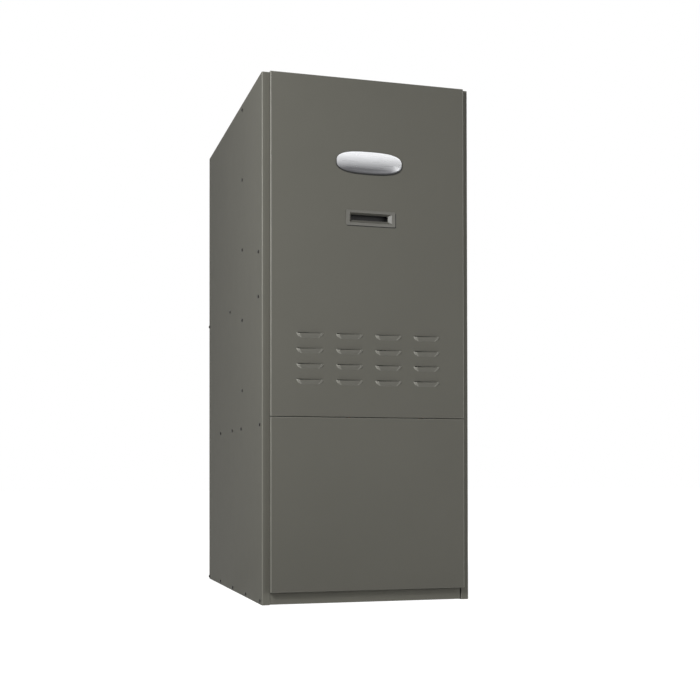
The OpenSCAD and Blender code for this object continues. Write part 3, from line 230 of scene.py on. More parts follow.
class Finish:
    """A material under construction: its node tree and its shader."""

    def __init__(self, name, base, rough, metal=0.0, **plain):
        self.material = bpy.data.materials.new(f"{name}_finish")
        self.material.use_nodes = True
        self.tree = self.material.node_tree
        self.shader = next(n for n in self.tree.nodes if n.type == "BSDF_PRINCIPLED")
        self.place = self.node("ShaderNodeTexCoord").outputs["Object"]
        self.base = base
        self.rough = rough
        plain = {"Base Color": full_colour(base), "Metallic": metal, "Roughness": rough, **plain}
        for name, value in plain.items():
            self.shader.inputs[name.replace("_", " ")].default_value = value

    def node(self, kind, inputs=None, **settings):
        """Adds a node to the material."""
        return add_node(self.tree, kind, inputs, **settings)

    def feed(self, name, socket):
        """Links a socket to an input of the shader."""
        self.tree.links.new(socket, self.shader.inputs[name])

    def noise(self, scale, detail, stretch=None, rough=0.5):
        """Cloudy noise from 0 to 1, with scale clouds in a metre, stretched along the axes."""
        place = self.place
        if stretch:
            place = self.node("ShaderNodeMapping", {"Vector": place, "Scale": stretch}).outputs["Vector"]
        inputs = {"Vector": place, "Scale": scale, "Detail": detail, "Roughness": rough}
        return self.node("ShaderNodeTexNoise", inputs).outputs["Fac"]

    def cells(self, scale, feature="F1"):
        """Cells with scale of them in a metre."""
        return self.node("ShaderNodeTexVoronoi", {"Vector": self.place, "Scale": scale}, feature=feature)

    def lines(self, scale, axis):
        """Bands across an axis, with scale of them in a metre."""
        inputs = {"Vector": self.place, "Scale": scale}
        return self.node("ShaderNodeTexWave", inputs, bands_direction=axis).outputs["Fac"]

    def ramp(self, factor, low, high, start=0.0, end=1.0):
        """Two values or colours, mixed by a factor between start and end."""
        made = self.node("ShaderNodeValToRGB", {"Fac": factor})
        for element, value, at in zip(made.color_ramp.elements, (low, high), (start, end)):
            element.color = full_colour(value)
            element.position = at
        return made.outputs["Color"]

    def mix(self, factor, low, high, kind="MIX"):
        """Mixes two colours or sockets by a factor."""
        inputs = {"Factor": factor, 6: full_colour(low), 7: full_colour(high)}
        return self.node("ShaderNodeMix", inputs, data_type="RGBA", blend_type=kind).outputs[2]

    def math(self, operation, *values):
        """The result of a sum on sockets and numbers."""
        return self.node("ShaderNodeMath", dict(enumerate(values)), operation=operation).outputs[0]

    def tint(self, factor, amount):
        """Lightens and darkens the base colour by an amount, following a factor."""
        low = tuple(c * (1 - amount) for c in self.base)
        high = tuple(min(1.0, c * (1 + amount)) for c in self.base)
        made = self.ramp(factor, low, high, *NOISE_RANGE)
        self.feed("Base Color", made)
        return made

    def vary_gloss(self, factor, amount):
        """Spreads the roughness by an amount about its value."""
        self.feed("Roughness", self.ramp(factor, self.rough - amount, self.rough + amount, *NOISE_RANGE))

    def folds(self):
        """A factor that is 1 on upright folds, less on level ones and 0 on flat faces; the enamel lays its
        painted highlight and its smoother gloss by it.
        """
        start, end, level_share = 0.1, 0.45, 0.42
        normal = self.node("ShaderNodeTexCoord").outputs["Normal"]
        parts = self.node("ShaderNodeSeparateXYZ", {"Vector": normal}).outputs
        upright, level = (
            self.math("ABSOLUTE", self.math("MULTIPLY", parts[axis], parts["Y"])) for axis in ("X", "Z")
        )
        slant = self.math("MULTIPLY_ADD", level, level_share, upright)
        return self.ramp(slant, 0.0, 1.0, start, end)

    def fade(self, axis, start, end):
        """A factor that goes from 0 to 1 between two places along an axis, in metres."""
        value = self.node("ShaderNodeSeparateXYZ", {"Vector": self.place}).outputs[axis]
        inputs = {"Value": value, "From Min": start, "From Max": end}
        return self.node("ShaderNodeMapRange", inputs).outputs["Result"]

    def relief(self, height, distance, strength, under=None):
        """Raises and sinks the surface by a distance in metres, on top of another relief."""
        inputs = {"Height": height, "Distance": distance, "Strength": strength}
        if under:
            inputs["Normal"] = under
        normal = self.node("ShaderNodeBump", inputs).outputs["Normal"]
        self.feed("Normal", normal)
        return normal


def enamel(name, base, fold, rough, peel):
    """Baked enamel: a satin coat with a faint orange peel, smoother on the folds, which also take a lighter
    colour as a painted highlight.
    """
    mottle, satin_play, fold_rough = 0.02, 0.03, 0.25
    made = Finish(name, base, rough=rough, Specular_IOR_Level=0.2)
    folds = made.folds()
    # Painted highlight: the folds take the lighter colour, more on upright folds than on level ones.
    made.feed("Base Color", made.mix(folds, made.tint(made.noise(4, 3), mottle), fold))
    satin = made.ramp(made.noise(25, 2), rough - satin_play, rough + satin_play)
    made.feed("Roughness", made.mix(folds, satin, fold_rough))
    made.relief(made.noise(420, 1), peel, 0.35)


def galvanised_sheet(name, base):
    """Hot-dip zinc with its spangle and faint rolling marks."""
    made = Finish(name, base, metal=0.9, rough=0.42)
    spangle = made.cells(130)
    flake = made.ramp(spangle.outputs["Color"], 0.88, 1.0, 0.2, 0.8)
    made.feed("Base Color", made.mix(1.0, made.tint(made.noise(12, 3), 0.06), flake, "MULTIPLY"))
    made.vary_gloss(spangle.outputs["Distance"], 0.04)
    made.relief(made.noise(300, 2, (1, 1, 0.05)), 0.00002, 0.5)


def plated(name, base):
    """Bright zinc plate on small hardware."""
    made = Finish(name, base, metal=1.0, rough=0.28)
    made.tint(made.noise(60, 3), 0.12)
    made.vary_gloss(made.noise(150, 2), 0.08)
    made.relief(made.noise(900, 1), 0.00002, 0.4)


def phosphate(name, base):
    """Dark phosphate on the sheet-metal screws."""
    made = Finish(name, base, metal=0.55, rough=0.42)
    made.tint(made.noise(500, 2), 0.25)
    made.relief(made.noise(1500, 1), 0.00003, 0.4)


def foil_board(name, base):
    """Aluminium foil over fibre board, crinkled, with its scrim of reinforcing threads."""
    made = Finish(name, base, metal=0.95, rough=0.3)
    made.tint(made.noise(30, 4), 0.08)
    threads = made.mix(1.0, made.lines(26, "Y"), made.lines(26, "Z"), "LIGHTEN")
    scrim = made.relief(made.ramp(threads, 0.0, 1.0, 0.9, 1.0), 0.00025, 0.6)
    made.relief(made.cells(55, "SMOOTH_F1").outputs["Distance"], 0.0012, 0.5, scrim)
    made.vary_gloss(made.noise(80, 3), 0.08)


def drum_steel(name, base):
    """Steel plate darkened by heat, blued and browned in patches, with mill scale."""
    made = Finish(name, base, metal=0.75, rough=0.5)
    heat = made.noise(7, 5, rough=0.6)
    warm = made.ramp(heat, srgb(84, 80, 84), srgb(128, 112, 98), 0.35, 0.65)
    scale = made.ramp(made.noise(120, 4), 0.72, 1.0, 0.4, 0.6)
    made.feed("Base Color", made.mix(1.0, warm, scale, "MULTIPLY"))
    made.vary_gloss(made.noise(90, 3), 0.1)
    made.relief(made.noise(260, 4), 0.00012, 0.5)


def ceramic_fibre(name, base):
    """Pressed fibre: soft, matt, with stray strands."""
    made = Finish(name, base, rough=0.95, Specular_IOR_Level=0.1)
    made.tint(made.noise(40, 5, rough=0.7), 0.1)
    strand = made.relief(made.noise(700, 3, (1, 1, 0.25)), 0.0004, 0.6)
    made.relief(made.cells(240).outputs["Distance"], 0.0003, 0.4, strand)


def worked_metal(name, base, rough, tarnish):
    """Brass or copper: drawn or turned, tarnished in patches."""
    made = Finish(name, base, metal=1.0, rough=rough)
    dull = tuple(c * 0.6 for c in base)
    made.feed("Base Color", made.ramp(made.noise(50, 4, rough=0.6), dull, base, 0.5 - tarnish, 0.5))
    made.vary_gloss(made.noise(130, 3), 0.08)
    made.relief(made.noise(1200, 1, (1, 0.1, 1)), 0.00002, 0.5)


def cast_metal(name, base):
    """Sand-grained cast aluminium."""
    made = Finish(name, base, metal=0.9, rough=0.5)
    made.tint(made.noise(35, 3), 0.08)
    grain = made.relief(made.noise(900, 2), 0.00012, 0.6)
    made.relief(made.noise(60, 2), 0.0002, 0.3, grain)
    made.vary_gloss(made.noise(300, 2), 0.08)


def gloss_coat(name, base):
    """Stoved gloss paint on motors."""
    made = Finish(name, base, rough=0.28, Coat_Weight=0.25, Coat_Roughness=0.12)
    made.tint(made.noise(20, 3), 0.12)
    made.relief(made.noise(260, 2), 0.00006, 0.4)
    made.vary_gloss(made.noise(70, 2), 0.05)


def moulded(name, base, rough=0.45, shine=0.5):
    """Moulded plastic with a spark-eroded grain."""
    made = Finish(name, base, rough=rough, Specular_IOR_Level=shine)
    made.tint(made.noise(15, 2), 0.04)
    made.relief(made.noise(1400, 2), 0.00004, 0.5)
    made.vary_gloss(made.noise(60, 2), 0.04)


def glazed(name, base):
    """Glazed porcelain."""
    made = Finish(name, base, rough=0.16, Coat_Weight=0.5, Coat_Roughness=0.05)
    made.tint(made.noise(60, 3), 0.05)
    made.relief(made.noise(180, 2), 0.00005, 0.3)


def solder_mask(name, base):
    """A circuit board: green mask over copper runs."""
    made = Finish(name, base, rough=0.35)
    runs = made.mix(1.0, made.lines(90, "Y"), made.lines(60, "Z"), "DIFFERENCE")
    made.feed("Base Color", made.ramp(runs, srgb(30, 78, 46), srgb(66, 128, 78), 0.45, 0.6))
    made.relief(runs, 0.0001, 0.4)


def filter_paper(name, base):
    """Pleated filter paper with its fine fibres."""
    made = Finish(name, base, rough=0.95, Specular_IOR_Level=0.1)
    made.tint(made.noise(25, 4), 0.05)
    made.relief(made.noise(900, 3, (1, 0.3, 1)), 0.0003, 0.6)


def badge_metal(name, light, dark):
    """Satin silver, brushed along its length, painted light at its top and painted shade towards the middle
    of the foot.
    """
    made = Finish(name, light, metal=0.7, rough=0.3)
    low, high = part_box("badge")
    centre, width = (low.x + high.x) / 2, high.x - low.x
    end_start, end_full, end_share = 0.315, 0.42, 0.95
    # Painted shade: the colour darkens from the top towards the foot, less so at the ends, in place of the
    # face's reflections.
    foot = made.ramp(made.fade("Z", high.z, low.z), 0.0, 1.0, 0.16, 0.78)
    for side in (-width, width):
        end = made.fade("X", centre + side * end_start, centre + side * end_full)
        foot = made.mix(1.0, foot, made.ramp(end, 1.0, end_share), "MULTIPLY")
    made.feed("Base Color", made.mix(foot, made.tint(made.noise(20, 2), 0.02), dark))
    made.relief(made.noise(900, 2, (0.04, 1, 1)), 0.00002, 0.4)
    made.vary_gloss(made.noise(200, 2, (0.05, 1, 1)), 0.05)


def finishes():
    """Makes every finish, each named after its slot."""
    paint = bpy.context.scene.furnace_paint
    pull = bpy.context.scene.furnace_pull
    badge = bpy.context.scene.furnace_badge
    enamel("casing_paint", tuple(paint.casing), tuple(paint.corner), paint.roughness, paint.peel)
    # The doors take the darker copy of the casing's enamel, a painted shade.
    enamel("door_paint", tuple(paint.door), tuple(paint.fold), paint.roughness, paint.peel)
    galvanised_sheet("galvanised", srgb(158, 162, 164))
    plated("zinc", srgb(186, 188, 184))
    phosphate("dark_screws", srgb(58, 57, 54))
    foil_board("foil_board", srgb(196, 198, 200))
    drum_steel("drum_steel", srgb(108, 102, 98))
    ceramic_fibre("ceramic_fibre", srgb(222, 216, 200))
    worked_metal("brass", srgb(196, 158, 92), 0.28, 0.12)
    worked_metal("copper", srgb(190, 116, 80), 0.24, 0.15)
    glazed("porcelain", srgb(224, 218, 204))
    cast_metal("cast_aluminium", srgb(158, 160, 162))
    gloss_coat("black_enamel", srgb(44, 46, 49))
    moulded("black_plastic", srgb(28, 28, 28), shine=0.3)
    moulded("grey_plastic", srgb(74, 78, 84))
    moulded("white_plastic", srgb(220, 217, 206))
    moulded("red_plastic", srgb(178, 34, 28), rough=0.3)
    solder_mask("board_green", srgb(38, 92, 54))
    filter_paper("filter_media", srgb(218, 216, 205))
    moulded("pull_plastic", tuple(pull.colour), rough=0.36)
    badge_metal("badge_metal", tuple(badge.light), tuple(badge.dark))


def finish_of(slot):
    """The finish of a material slot; a plain material keeps the slot's own name."""
    return bpy.data.materials[f"{slot}_finish"]


# Meshes


def placed(name, data):
    """A new object in the scene."""
    made = bpy.data.objects.new(name, data)
    bpy.context.scene.collection.objects.link(made)
    return made


def meshed(name, mesh):
    """A new object in the scene that takes over a bmesh."""
    data = bpy.data.meshes.new(name)
    mesh.to_mesh(data)
    mesh.free()
    return placed(name, data)


def piece(name, mesh, slot, body, stands_for=(), sharp=math.radians(32), sheet=0.0):
    """Turns a bmesh into a finished piece that rides on a body and stands for CAD nodes."""
    bmesh.ops.remove_doubles(mesh, verts=mesh.verts, dist=SAME_POINT)
    bmesh.ops.recalc_face_normals(mesh, faces=mesh.faces)
    mesh.normal_update()
    for face in mesh.faces:
        face.smooth = True
    for edge in mesh.edges:
        edge.smooth = not edge.is_manifold or edge.calc_face_angle(0) < sharp
    made = meshed(name, mesh)
    made.data.materials.append(finish_of(slot))
    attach(made, body)
    if stands_for:
        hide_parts(*stands_for)
    if sheet:
        thicken = made.modifiers.new("Sheet", "SOLIDIFY")
        thicken.thickness = sheet
        thicken.offset = -1
        thicken.use_even_offset = True
    flat_shading(made)


def flat_shading(made):
    """Keeps large flat faces flat beside small round ones."""
    weighted = made.modifiers.new("Weighted normals", "WEIGHTED_NORMAL")
    weighted.keep_sharp = True


def loft(mesh, loops, close_ends=True):
    """Skins a row of closed loops that have the same number of points."""
    rings = [[mesh.verts.new(point) for point in loop] for loop in loops]
    for near, far in zip(rings, rings[1:]):
        for i in range(len(near)):
            j = (i + 1) % len(near)
            mesh.faces.new((near[i], near[j], far[j], far[i]))
    if close_ends:
        mesh.faces.new(rings[0][::-1])
        mesh.faces.new(rings[-1])


def lofted(loops, closed_ends=True):
    """A new mesh skinned over loops; without closed ends it goes on round to the first loop."""
    mesh = bmesh.new()
    loft(mesh, loops if closed_ends else loops + loops[:1], closed_ends)
    return mesh


def rounded_loop(size, radius, depth, centre):
    """A rounded rectangle in X and Z at a depth."""
    steps = 4
    points = []
    for x_side, z_side, start in ((1, 1, 0), (-1, 1, 90), (-1, -1, 180), (1, -1, 270)):
        for step in range(steps + 1):
            angle = math.radians(start + 90 * step / steps)
            x = centre[0] + x_side * (size[0] / 2 - radius) + radius * math.cos(angle)
            z = centre[1] + z_side * (size[1] / 2 - radius) + radius * math.sin(angle)
            points.append((x, depth, z))
    return points


def oval_loop(size, fullness, depth, centre, count=96):
    """An oval in X and Z at a depth, fuller than an ellipse."""
    points = []
    for step in range(count):
        angle = 2 * math.pi * step / count
        cosine, sine = math.cos(angle), math.sin(angle)
        x = centre[0] + size[0] / 2 * math.copysign(abs(cosine) ** (2 / fullness), cosine)
        z = centre[1] + size[1] / 2 * math.copysign(abs(sine) ** (2 / fullness), sine)
        points.append((x, depth, z))
    return points


def circle_loop(radius, depth, centre):
    """A circle in X and Z at a depth."""
    return oval_loop((2 * radius, 2 * radius), 2, depth, centre, count=24)


def middle(low, high):
    """The middle of a box, in X and Z."""
    return (low.x + high.x) / 2, (low.z + high.z) / 2


def size_of(low, high):
    """Width and height of a box."""
    return high.x - low.x, high.z - low.z


def grown(size, by):
    """A width and a height, both larger by a length, or smaller where it is negative."""
    return size[0] + by, size[1] + by


def solids_of(node):
    """The lowest and highest corner of each separate solid of a CAD node, in order of place."""
    mesh = bmesh.new()
    mesh.from_mesh(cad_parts[node].data)
    bmesh.ops.remove_doubles(mesh, verts=mesh.verts, dist=SAME_POINT)
    left = set(mesh.verts)
    boxes = []
    while left:
        island, edge_of = set(), {left.pop()}
        while edge_of:
            vert = edge_of.pop()
            island.add(vert)
            edge_of |= {e.other_vert(vert) for e in vert.link_edges} - island
        left -= island
        low = Vector([min(v.co[i] for v in island) for i in range(3)])
        high = Vector([max(v.co[i] for v in island) for i in range(3)])
        boxes.append((low, high))
    mesh.free()
    return sorted(boxes, key=lambda box: tuple(box[0]))


def dress(slot, *nodes, edge=0.4 * MM):
    """Gives CAD nodes a finish and softens their edges."""
    flat_below, sharp_above = math.radians(0.5), math.radians(40)
    for name in nodes:
        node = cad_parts[name]
        if node.data.materials:
            for holder in node.material_slots:
                holder.material = finish_of(slot)
        else:
            node.data.materials.append(finish_of(slot))
        weld = node.modifiers.new("Weld", "WELD")
        weld.merge_threshold = SAME_POINT
        flatten = node.modifiers.new("Flat faces", "DECIMATE")
        flatten.decimate_type = "DISSOLVE"
        flatten.angle_limit = flat_below
        soften = node.modifiers.new("Soft edges", "BEVEL")
        soften.width = edge
        soften.segments = 2
        soften.limit_method = "ANGLE"
        soften.angle_limit = sharp_above
        soften.miter_outer = "MITER_ARC"
        flat_shading(node)


# Operators


class FURNACE_OT_finishes(bpy.types.Operator):
    """Makes the materials that the pieces share"""

    bl_idname = "furnace.finishes"
    bl_label = "Finishes"

    def execute(self, context):
        finishes()
        return {"FINISHED"}


class FURNACE_OT_casing(bpy.types.Operator):
    """Paints the casing and gives the inner panels their zinc"""

    bl_idname = "furnace.casing"
    bl_label = "Casing"

    def execute(self, context):
        dress("casing_paint", "left_side", "right_side", "top_panel", edge=0.25 * MM)
        dress("casing_paint", "rear_lower_panel", "rear_upper_panel", "bottom_rail", edge=0.25 * MM)
        dress("galvanised", "base_pan", "blower_deck", "vestibule_panel", edge=0.25 * MM)
        dress("zinc", "door_catches")
        dress("foil_board", "side_liners", "rear_liner", edge=1.5 * MM)
        return {"FINISHED"}


class FURNACE_OT_doors(bpy.types.Operator):
    """Folds the two doors from sheet, with the louvres pressed into the upper one"""

    bl_idname = "furnace.doors"
    bl_label = "Doors"

    def execute(self, context):
        pull = context.scene.furnace_pull
        (x, z), cup = pull_slot_middle(pull), pull_cup(pull)
        play = 0.4 * MM
        half_width, half_height = cup[0] / 2 + play, cup[1] / 2 + play
        cut = (x - half_width, x + half_width, z - half_height, z + half_height)
        sheet = context.scene.furnace_door.sheet
        for body, pressed, hole in (("upper_door", louvre_feet(context), cut), ("lower_door", [], None)):
            skin = folded_door(context, body, pressed, hole)
            piece(f"{body}_skin", skin, "door_paint", body, (body,), sheet=sheet)
            piece(f"{body}_studs", door_studs(body), "zinc", body)
        piece("switch_tab", switch_tab(context), "door_paint", "lower_door")
        return {"FINISHED"}


def louvre_feet(context):
    """The middle of each louvre's foot, in X and Z."""
    louvre = context.scene.furnace_louvre
    first = -louvre.left - (louvre.columns - 1) * louvre.across / 2
    return [
        (first + column * louvre.across, louvre.top - louvre.height - row * louvre.down)
        for row in range(louvre.rows)
        for column in range(louvre.columns)
    ]


def louvre_lines(louvre, feet):
    """The lines of a grid that is fine at the ends and foot of each louvre."""
    half = louvre.width / 2
    end_step, end_steps, inner_line = 1.5 * MM, 14, 0.4 * half
    crease, rows = 1.2 * MM, 8
    ends = [half - step * end_step for step in range(-1, end_steps)] + [inner_line]
    across = {foot[0] + side * end for foot in feet for side in (-1, 1) for end in ends}
    rises = [-crease, 0, crease] + [louvre.height * row / rows for row in range(1, rows + 1)]
    up = {foot[1] + rise for foot in feet for rise in rises}
    return across, up


def louvre_push(louvre, x, z):
    """How far the pressed sheet stands out, at a place measured from the middle of the foot."""
    rise = z / louvre.height
    if not 0 <= rise < OPEN_EDGE:
        return 0.0
    face_curve, end_curve, soft = 1.2, 1.4, 0.12
    face = 1 - max(0.0, 1 - rise) ** face_curve
    half = louvre.width / 2 - louvre.foot_in * (1 - rise) ** end_curve
    end = (half - abs(x)) / louvre.end_run
    if end <= 0:
        return 0.0
    blend = max(0.0, min(1.0, 0.5 + 0.5 * (end - face) / soft))
    low = end * (1 - blend) + face * blend - soft * blend * (1 - blend)
    return louvre.proud * max(0.0, min(1.0, low))


def louvre_gap(louvre, x):
    """Height of the slit above the open edge, which closes at both ends."""
    part = x / louvre.width + 0.5
    height = louvre.gap_left * (1 - part) + louvre.gap_right * part
    return height * min(1.0, 2 * louvre_push(louvre, x, louvre.height) / louvre.proud)


def folded_door(context, node, feet, hole):
    """A door folded from one sheet: its face as a grid, then the folds and the lip as loops round it."""
    door = context.scene.furnace_door
    louvre = context.scene.furnace_louvre
    low, high = skin_box(node)
    left, right = low.x + door.bend, high.x - door.bend
    bottom, top = low.z + door.bend, high.z - door.bend
    across, up = louvre_lines(louvre, feet)
    if hole:
        across |= set(hole[:2])
        up |= set(hole[2:])
    xs = thinned(across | {left, right})
    zs = thinned(up | {bottom, top})
    open_edges = {round(foot[1] + louvre.height, 6) for foot in feet}
    mesh = bmesh.new()
    corners = {}

    def corner(x, z, below):
        """The grid's corner; on an open edge the cells below it have one of their own."""
        push, gap = 0.0, 0.0
        for foot in feet:
            rise = (z - foot[1]) / louvre.height
            if abs(x - foot[0]) < louvre.width / 2 and 0 <= rise < OPEN_EDGE:
                push += louvre_push(louvre, x - foot[0], z - foot[1])
                gap += louvre_gap(louvre, x - foot[0]) * rise
        if round(z, 6) in open_edges and not below:
            push = gap = 0.0
        key = (round(x, 6), round(z, 6), push > 0)
        if key not in corners:
            corners[key] = mesh.verts.new((x, low.y - push, z - gap))
        return corners[key]

    for x0, x1 in zip(xs, xs[1:]):
        for z0, z1 in zip(zs, zs[1:]):
            x, z = (x0 + x1) / 2, (z0 + z1) / 2
            if hole and hole[0] < x < hole[1] and hole[2] < z < hole[3]:
                continue
            mesh.faces.new(
                (corner(x0, z0, False), corner(x1, z0, False), corner(x1, z1, True), corner(x0, z1, True))
            )
    rim = [(x, z, corner(x, z, False)) for x, z in rim_of(xs, zs)]
    wrap_folds(mesh, rim, fold_profile(door, high.y - low.y), low.y)
    return mesh


def rim_of(xs, zs):
    """The places on the rim of a grid, once round it from its lowest corner."""
    ring = [(x, zs[0]) for x in xs] + [(xs[-1], z) for z in zs[1:]]
    return ring + [(x, zs[-1]) for x in xs[-2::-1]] + [(xs[0], z) for z in zs[-2:0:-1]]


def wrap_folds(mesh, rim, profile, front):
    """Folds the sheet back from its rim, one loop for each step of the profile."""
    places = [(x, z) for x, z, _ in rim]
    last = [vert for _, _, vert in rim]
    (left, bottom), (right, top) = min(places), max(places)
    for out, back in profile:
        loop = []
        for x, z in places:
            shift_x = out * ((x == right) - (x == left))
            shift_z = out * ((z == top) - (z == bottom))
            loop.append(mesh.verts.new((x + shift_x, front + back, z + shift_z)))
        for i in range(len(places)):
            j = (i + 1) % len(places)
            mesh.faces.new((last[i], loop[i], loop[j], last[j]))
        last = loop


def fold_profile(door, depth):
    """How far each loop of a door's folded edge lies outside the face, and how far behind it."""
    back_bend = door.bend * 0.7
    loops = []
    for step in range(1, door.bend_steps + 1):
        angle = math.pi / 2 * step / door.bend_steps
        loops.append((door.bend * math.sin(angle), door.bend * (1 - math.cos(angle))))
    for step in range(door.bend_steps + 1):
        angle = math.pi / 2 * step / door.bend_steps
        out = door.bend - back_bend * (1 - math.cos(angle))
        loops.append((out, depth - back_bend * (1 - math.sin(angle))))
    loops.append((door.bend - door.lip, depth))
    return loops


def thinned(values):
    """Sorted values with near-equal ones left out."""
    least_step = 0.01 * MM
    kept = []
    for value in sorted(values):
        if not kept or value - kept[-1] > least_step:
            kept.append(value)
    return kept


def skin_box(node):
    """The box of a door's folded sheet, without its louvres, studs and tab."""
    low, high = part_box(node)
    play = 0.3 * MM
    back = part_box("left_side")[0].y - play
    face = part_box("lower_door")[0].y
    return Vector((low.x, face, low.z)), Vector((high.x, back, high.z))


def door_studs(node):
    """The round studs that hold a door in its catches."""
    low, high = skin_box(node)
    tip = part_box(node)[1].y
    mesh = bmesh.new()
    for catch in solids_of("door_catches"):
        centre = middle(*catch)
        if low.z < centre[1] < high.z:
            profile = stud_profile(high.y - 1 * MM, tip)
            loft(mesh, [circle_loop(radius, depth, centre) for radius, depth in profile])
    return mesh


def stud_profile(seat, tip):
    """Radius and depth of each loop of a stud: a flat shoulder, a shank and a domed tip."""
    shoulder, shank = 6 * MM, 3 * MM
    return [
        (shoulder, seat),
        (shoulder, seat + 1.4 * MM),
        (shank, seat + 1.6 * MM),
        (shank, tip - 2.2 * MM),
        (shank - 0.4 * MM, tip - 0.8 * MM),
        (shank - 1.6 * MM, tip),
    ]


def switch_tab(context):
    """The tab inside the lower door that works the switch."""
    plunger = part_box("switch_plunger")
    x, z = middle(*plunger)
    face = skin_box("lower_door")[0].y + context.scene.furnace_door.sheet
    play, drop, bevel = 0.3 * MM, 1 * MM, 0.6 * MM
    size, centre = (24 * MM, 12 * MM), (x, z - drop)
    end = plunger[0].y - play
    loops = [rounded_loop(size, 1.5 * MM, depth, centre) for depth in (face, end - bevel)]
    loops.append(rounded_loop(grown(size, -2 * bevel), 1 * MM, end, centre))
    return lofted(loops)


def pull_slot_middle(pull):
    """The middle of the finger slot, in X and Z."""
    x, z = middle(*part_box("door_pull"))
    return x - pull.slot_left, z + pull.slot_up


def pull_cup(pull):
    """Width and height of the cup behind the slot."""
    beside, above = 10 * MM, 7 * MM
    return pull.slot_width + 2 * beside, pull.slot_height + 2 * above


class FURNACE_OT_pull(bpy.types.Operator):
    """Moulds the recessed pull: a frame with a tapered mouth, a black pocket behind it as painted shade, and
    a black gasket as painted shadow
    """

    bl_idname = "furnace.pull"
    bl_label = "Recessed pull"

    def execute(self, context):
        pull = context.scene.furnace_pull
        low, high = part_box("door_pull")
        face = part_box("lower_door")[0].y
        wall = 2.5 * MM
        throat = face + pull.mouth_depth + wall
        outline = lofted(pull_frame_loops(pull, low, high, face, throat), closed_ends=False)
        piece("pull_frame", outline, "pull_plastic", "upper_door", ("door_pull",))
        # Painted shade: the pocket is black plastic in place of the shade inside the recess.
        pocket = lofted(pull_pocket_loops(pull, throat, high.y))
        piece("pull_pocket", pocket, "black_plastic", "upper_door")
        # Painted shadow: the black gasket shows below and right of the frame.
        gasket = lofted(pull_gasket_loops(pull, low, high, face), closed_ends=False)
        piece("pull_gasket", gasket, "black_plastic", "upper_door")
        return {"FINISHED"}


def pull_frame_loops(pull, low, high, face, throat):
    """Loops from the throat, over the mouth and the flat frame, to the cup's outside and back."""
    mid, slot_mid = middle(low, high), pull_slot_middle(pull)
    mouth_mid = (slot_mid[0] + pull.mouth_aside, slot_mid[1] - pull.mouth_aside)
    slot, cup, outline = (pull.slot_width, pull.slot_height), pull_cup(pull), size_of(low, high)
    mouth = (slot[0] + 2 * pull.mouth, slot[1] + 2 * pull.mouth_rise)
    slot_corner, mouth_corner, frame_corner = 1 * MM, 1.5 * MM, 3 * MM
    edge, lip = pull.edge, 2 * MM
    return [
        rounded_loop(slot, slot_corner, throat, slot_mid),
        rounded_loop(slot, slot_corner, throat - lip, slot_mid),
        rounded_loop(grown(slot, edge), slot_corner + 0.2 * MM, throat - lip - 1 * MM, slot_mid),
        rounded_loop(mouth, mouth_corner, low.y + edge, mouth_mid),
        rounded_loop(grown(mouth, edge), mouth_corner + 0.3 * MM, low.y + edge * 0.2, mouth_mid),
        rounded_loop(grown(mouth, 2 * edge), mouth_corner + 0.5 * MM, low.y, mouth_mid),
        rounded_loop(grown(outline, -2 * edge), frame_corner - 0.6 * MM, low.y, mid),
        rounded_loop(grown(outline, -0.6 * edge), frame_corner - 0.2 * MM, low.y + edge * 0.3, mid),
        rounded_loop(outline, frame_corner, low.y + edge, mid),
        rounded_loop(outline, frame_corner, face - CLEAR, mid),
        rounded_loop(cup, CUP_CORNER, face - CLEAR, slot_mid),
        rounded_loop(cup, CUP_CORNER, throat, slot_mid),
    ]


def pull_pocket_loops(pull, throat, back):
    """Loops from the pocket's inner back, over its mouth, to its outer back; it rises behind the slot, and
    its black is painted shade.
    """
    wall, bevel = 2 * MM, 1 * MM
    x, z = pull_slot_middle(pull)
    cup = pull_cup(pull)
    rise = cup[1] / 2 - wall - pull.slot_height / 2
    inner = (pull.slot_width, pull.slot_height + rise)
    return [
        rounded_loop(inner, CUP_CORNER, back - wall, (x, z + rise / 2)),
        rounded_loop(inner, CUP_CORNER, throat, (x, z + rise / 2)),
        rounded_loop(cup, CUP_CORNER, throat, (x, z)),
        rounded_loop(cup, CUP_CORNER, back - bevel, (x, z)),
        rounded_loop(grown(cup, -2 * bevel), CUP_CORNER - bevel / 2, back, (x, z)),
    ]


def pull_gasket_loops(pull, low, high, face):
    """Loops of the thin black gasket round the hole under the frame; it shows below the frame and to its
    right as a painted shadow.
    """
    x, z = middle(low, high)
    mid, slot_mid = (x + pull.gasket, z - pull.gasket), pull_slot_middle(pull)
    outline, hole = size_of(low, high), pull_cup(pull)
    thick, bevel, corner = 1 * MM, 0.3 * MM, 3 * MM
    back, front = face - CLEAR, face - CLEAR - thick
    return [
        rounded_loop(outline, corner, back, mid),
        rounded_loop(outline, corner, front + bevel, mid),
        rounded_loop(grown(outline, -2 * bevel), corner - bevel, front, mid),
        rounded_loop(hole, CUP_CORNER, front, slot_mid),
        rounded_loop(hole, CUP_CORNER, back, slot_mid),
    ]


class FURNACE_OT_badge(bpy.types.Operator):
    """Makes the plain oval badge: a dark body, and on it a rim round a domed satin face"""

    bl_idname = "furnace.badge"
    bl_label = "Plain badge"

    def execute(self, context):
        badge = context.scene.furnace_badge
        low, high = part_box("badge")
        body_share = 0.45
        seat = high.y - (high.y - low.y) * body_share
        body = badge_body(badge, low, high, seat)
        piece("badge_body", body, "black_plastic", "upper_door")
        face = badge_face(badge, low, high, seat)
        piece("badge_face", face, "badge_metal", "upper_door", ("badge",))
        return {"FINISHED"}


def badge_body(badge, low, high, seat):
    """The dark body, whose edge shows round the face, most below and to the right as a painted shadow."""
    bevel = 0.8 * MM

    def ring(inset, depth):
        size = grown(size_of(low, high), -2 * inset)
        return oval_loop(size, badge.fullness, depth, middle(low, high))

    return lofted([ring(0, high.y - CLEAR), ring(0, seat + bevel), ring(bevel, seat)])


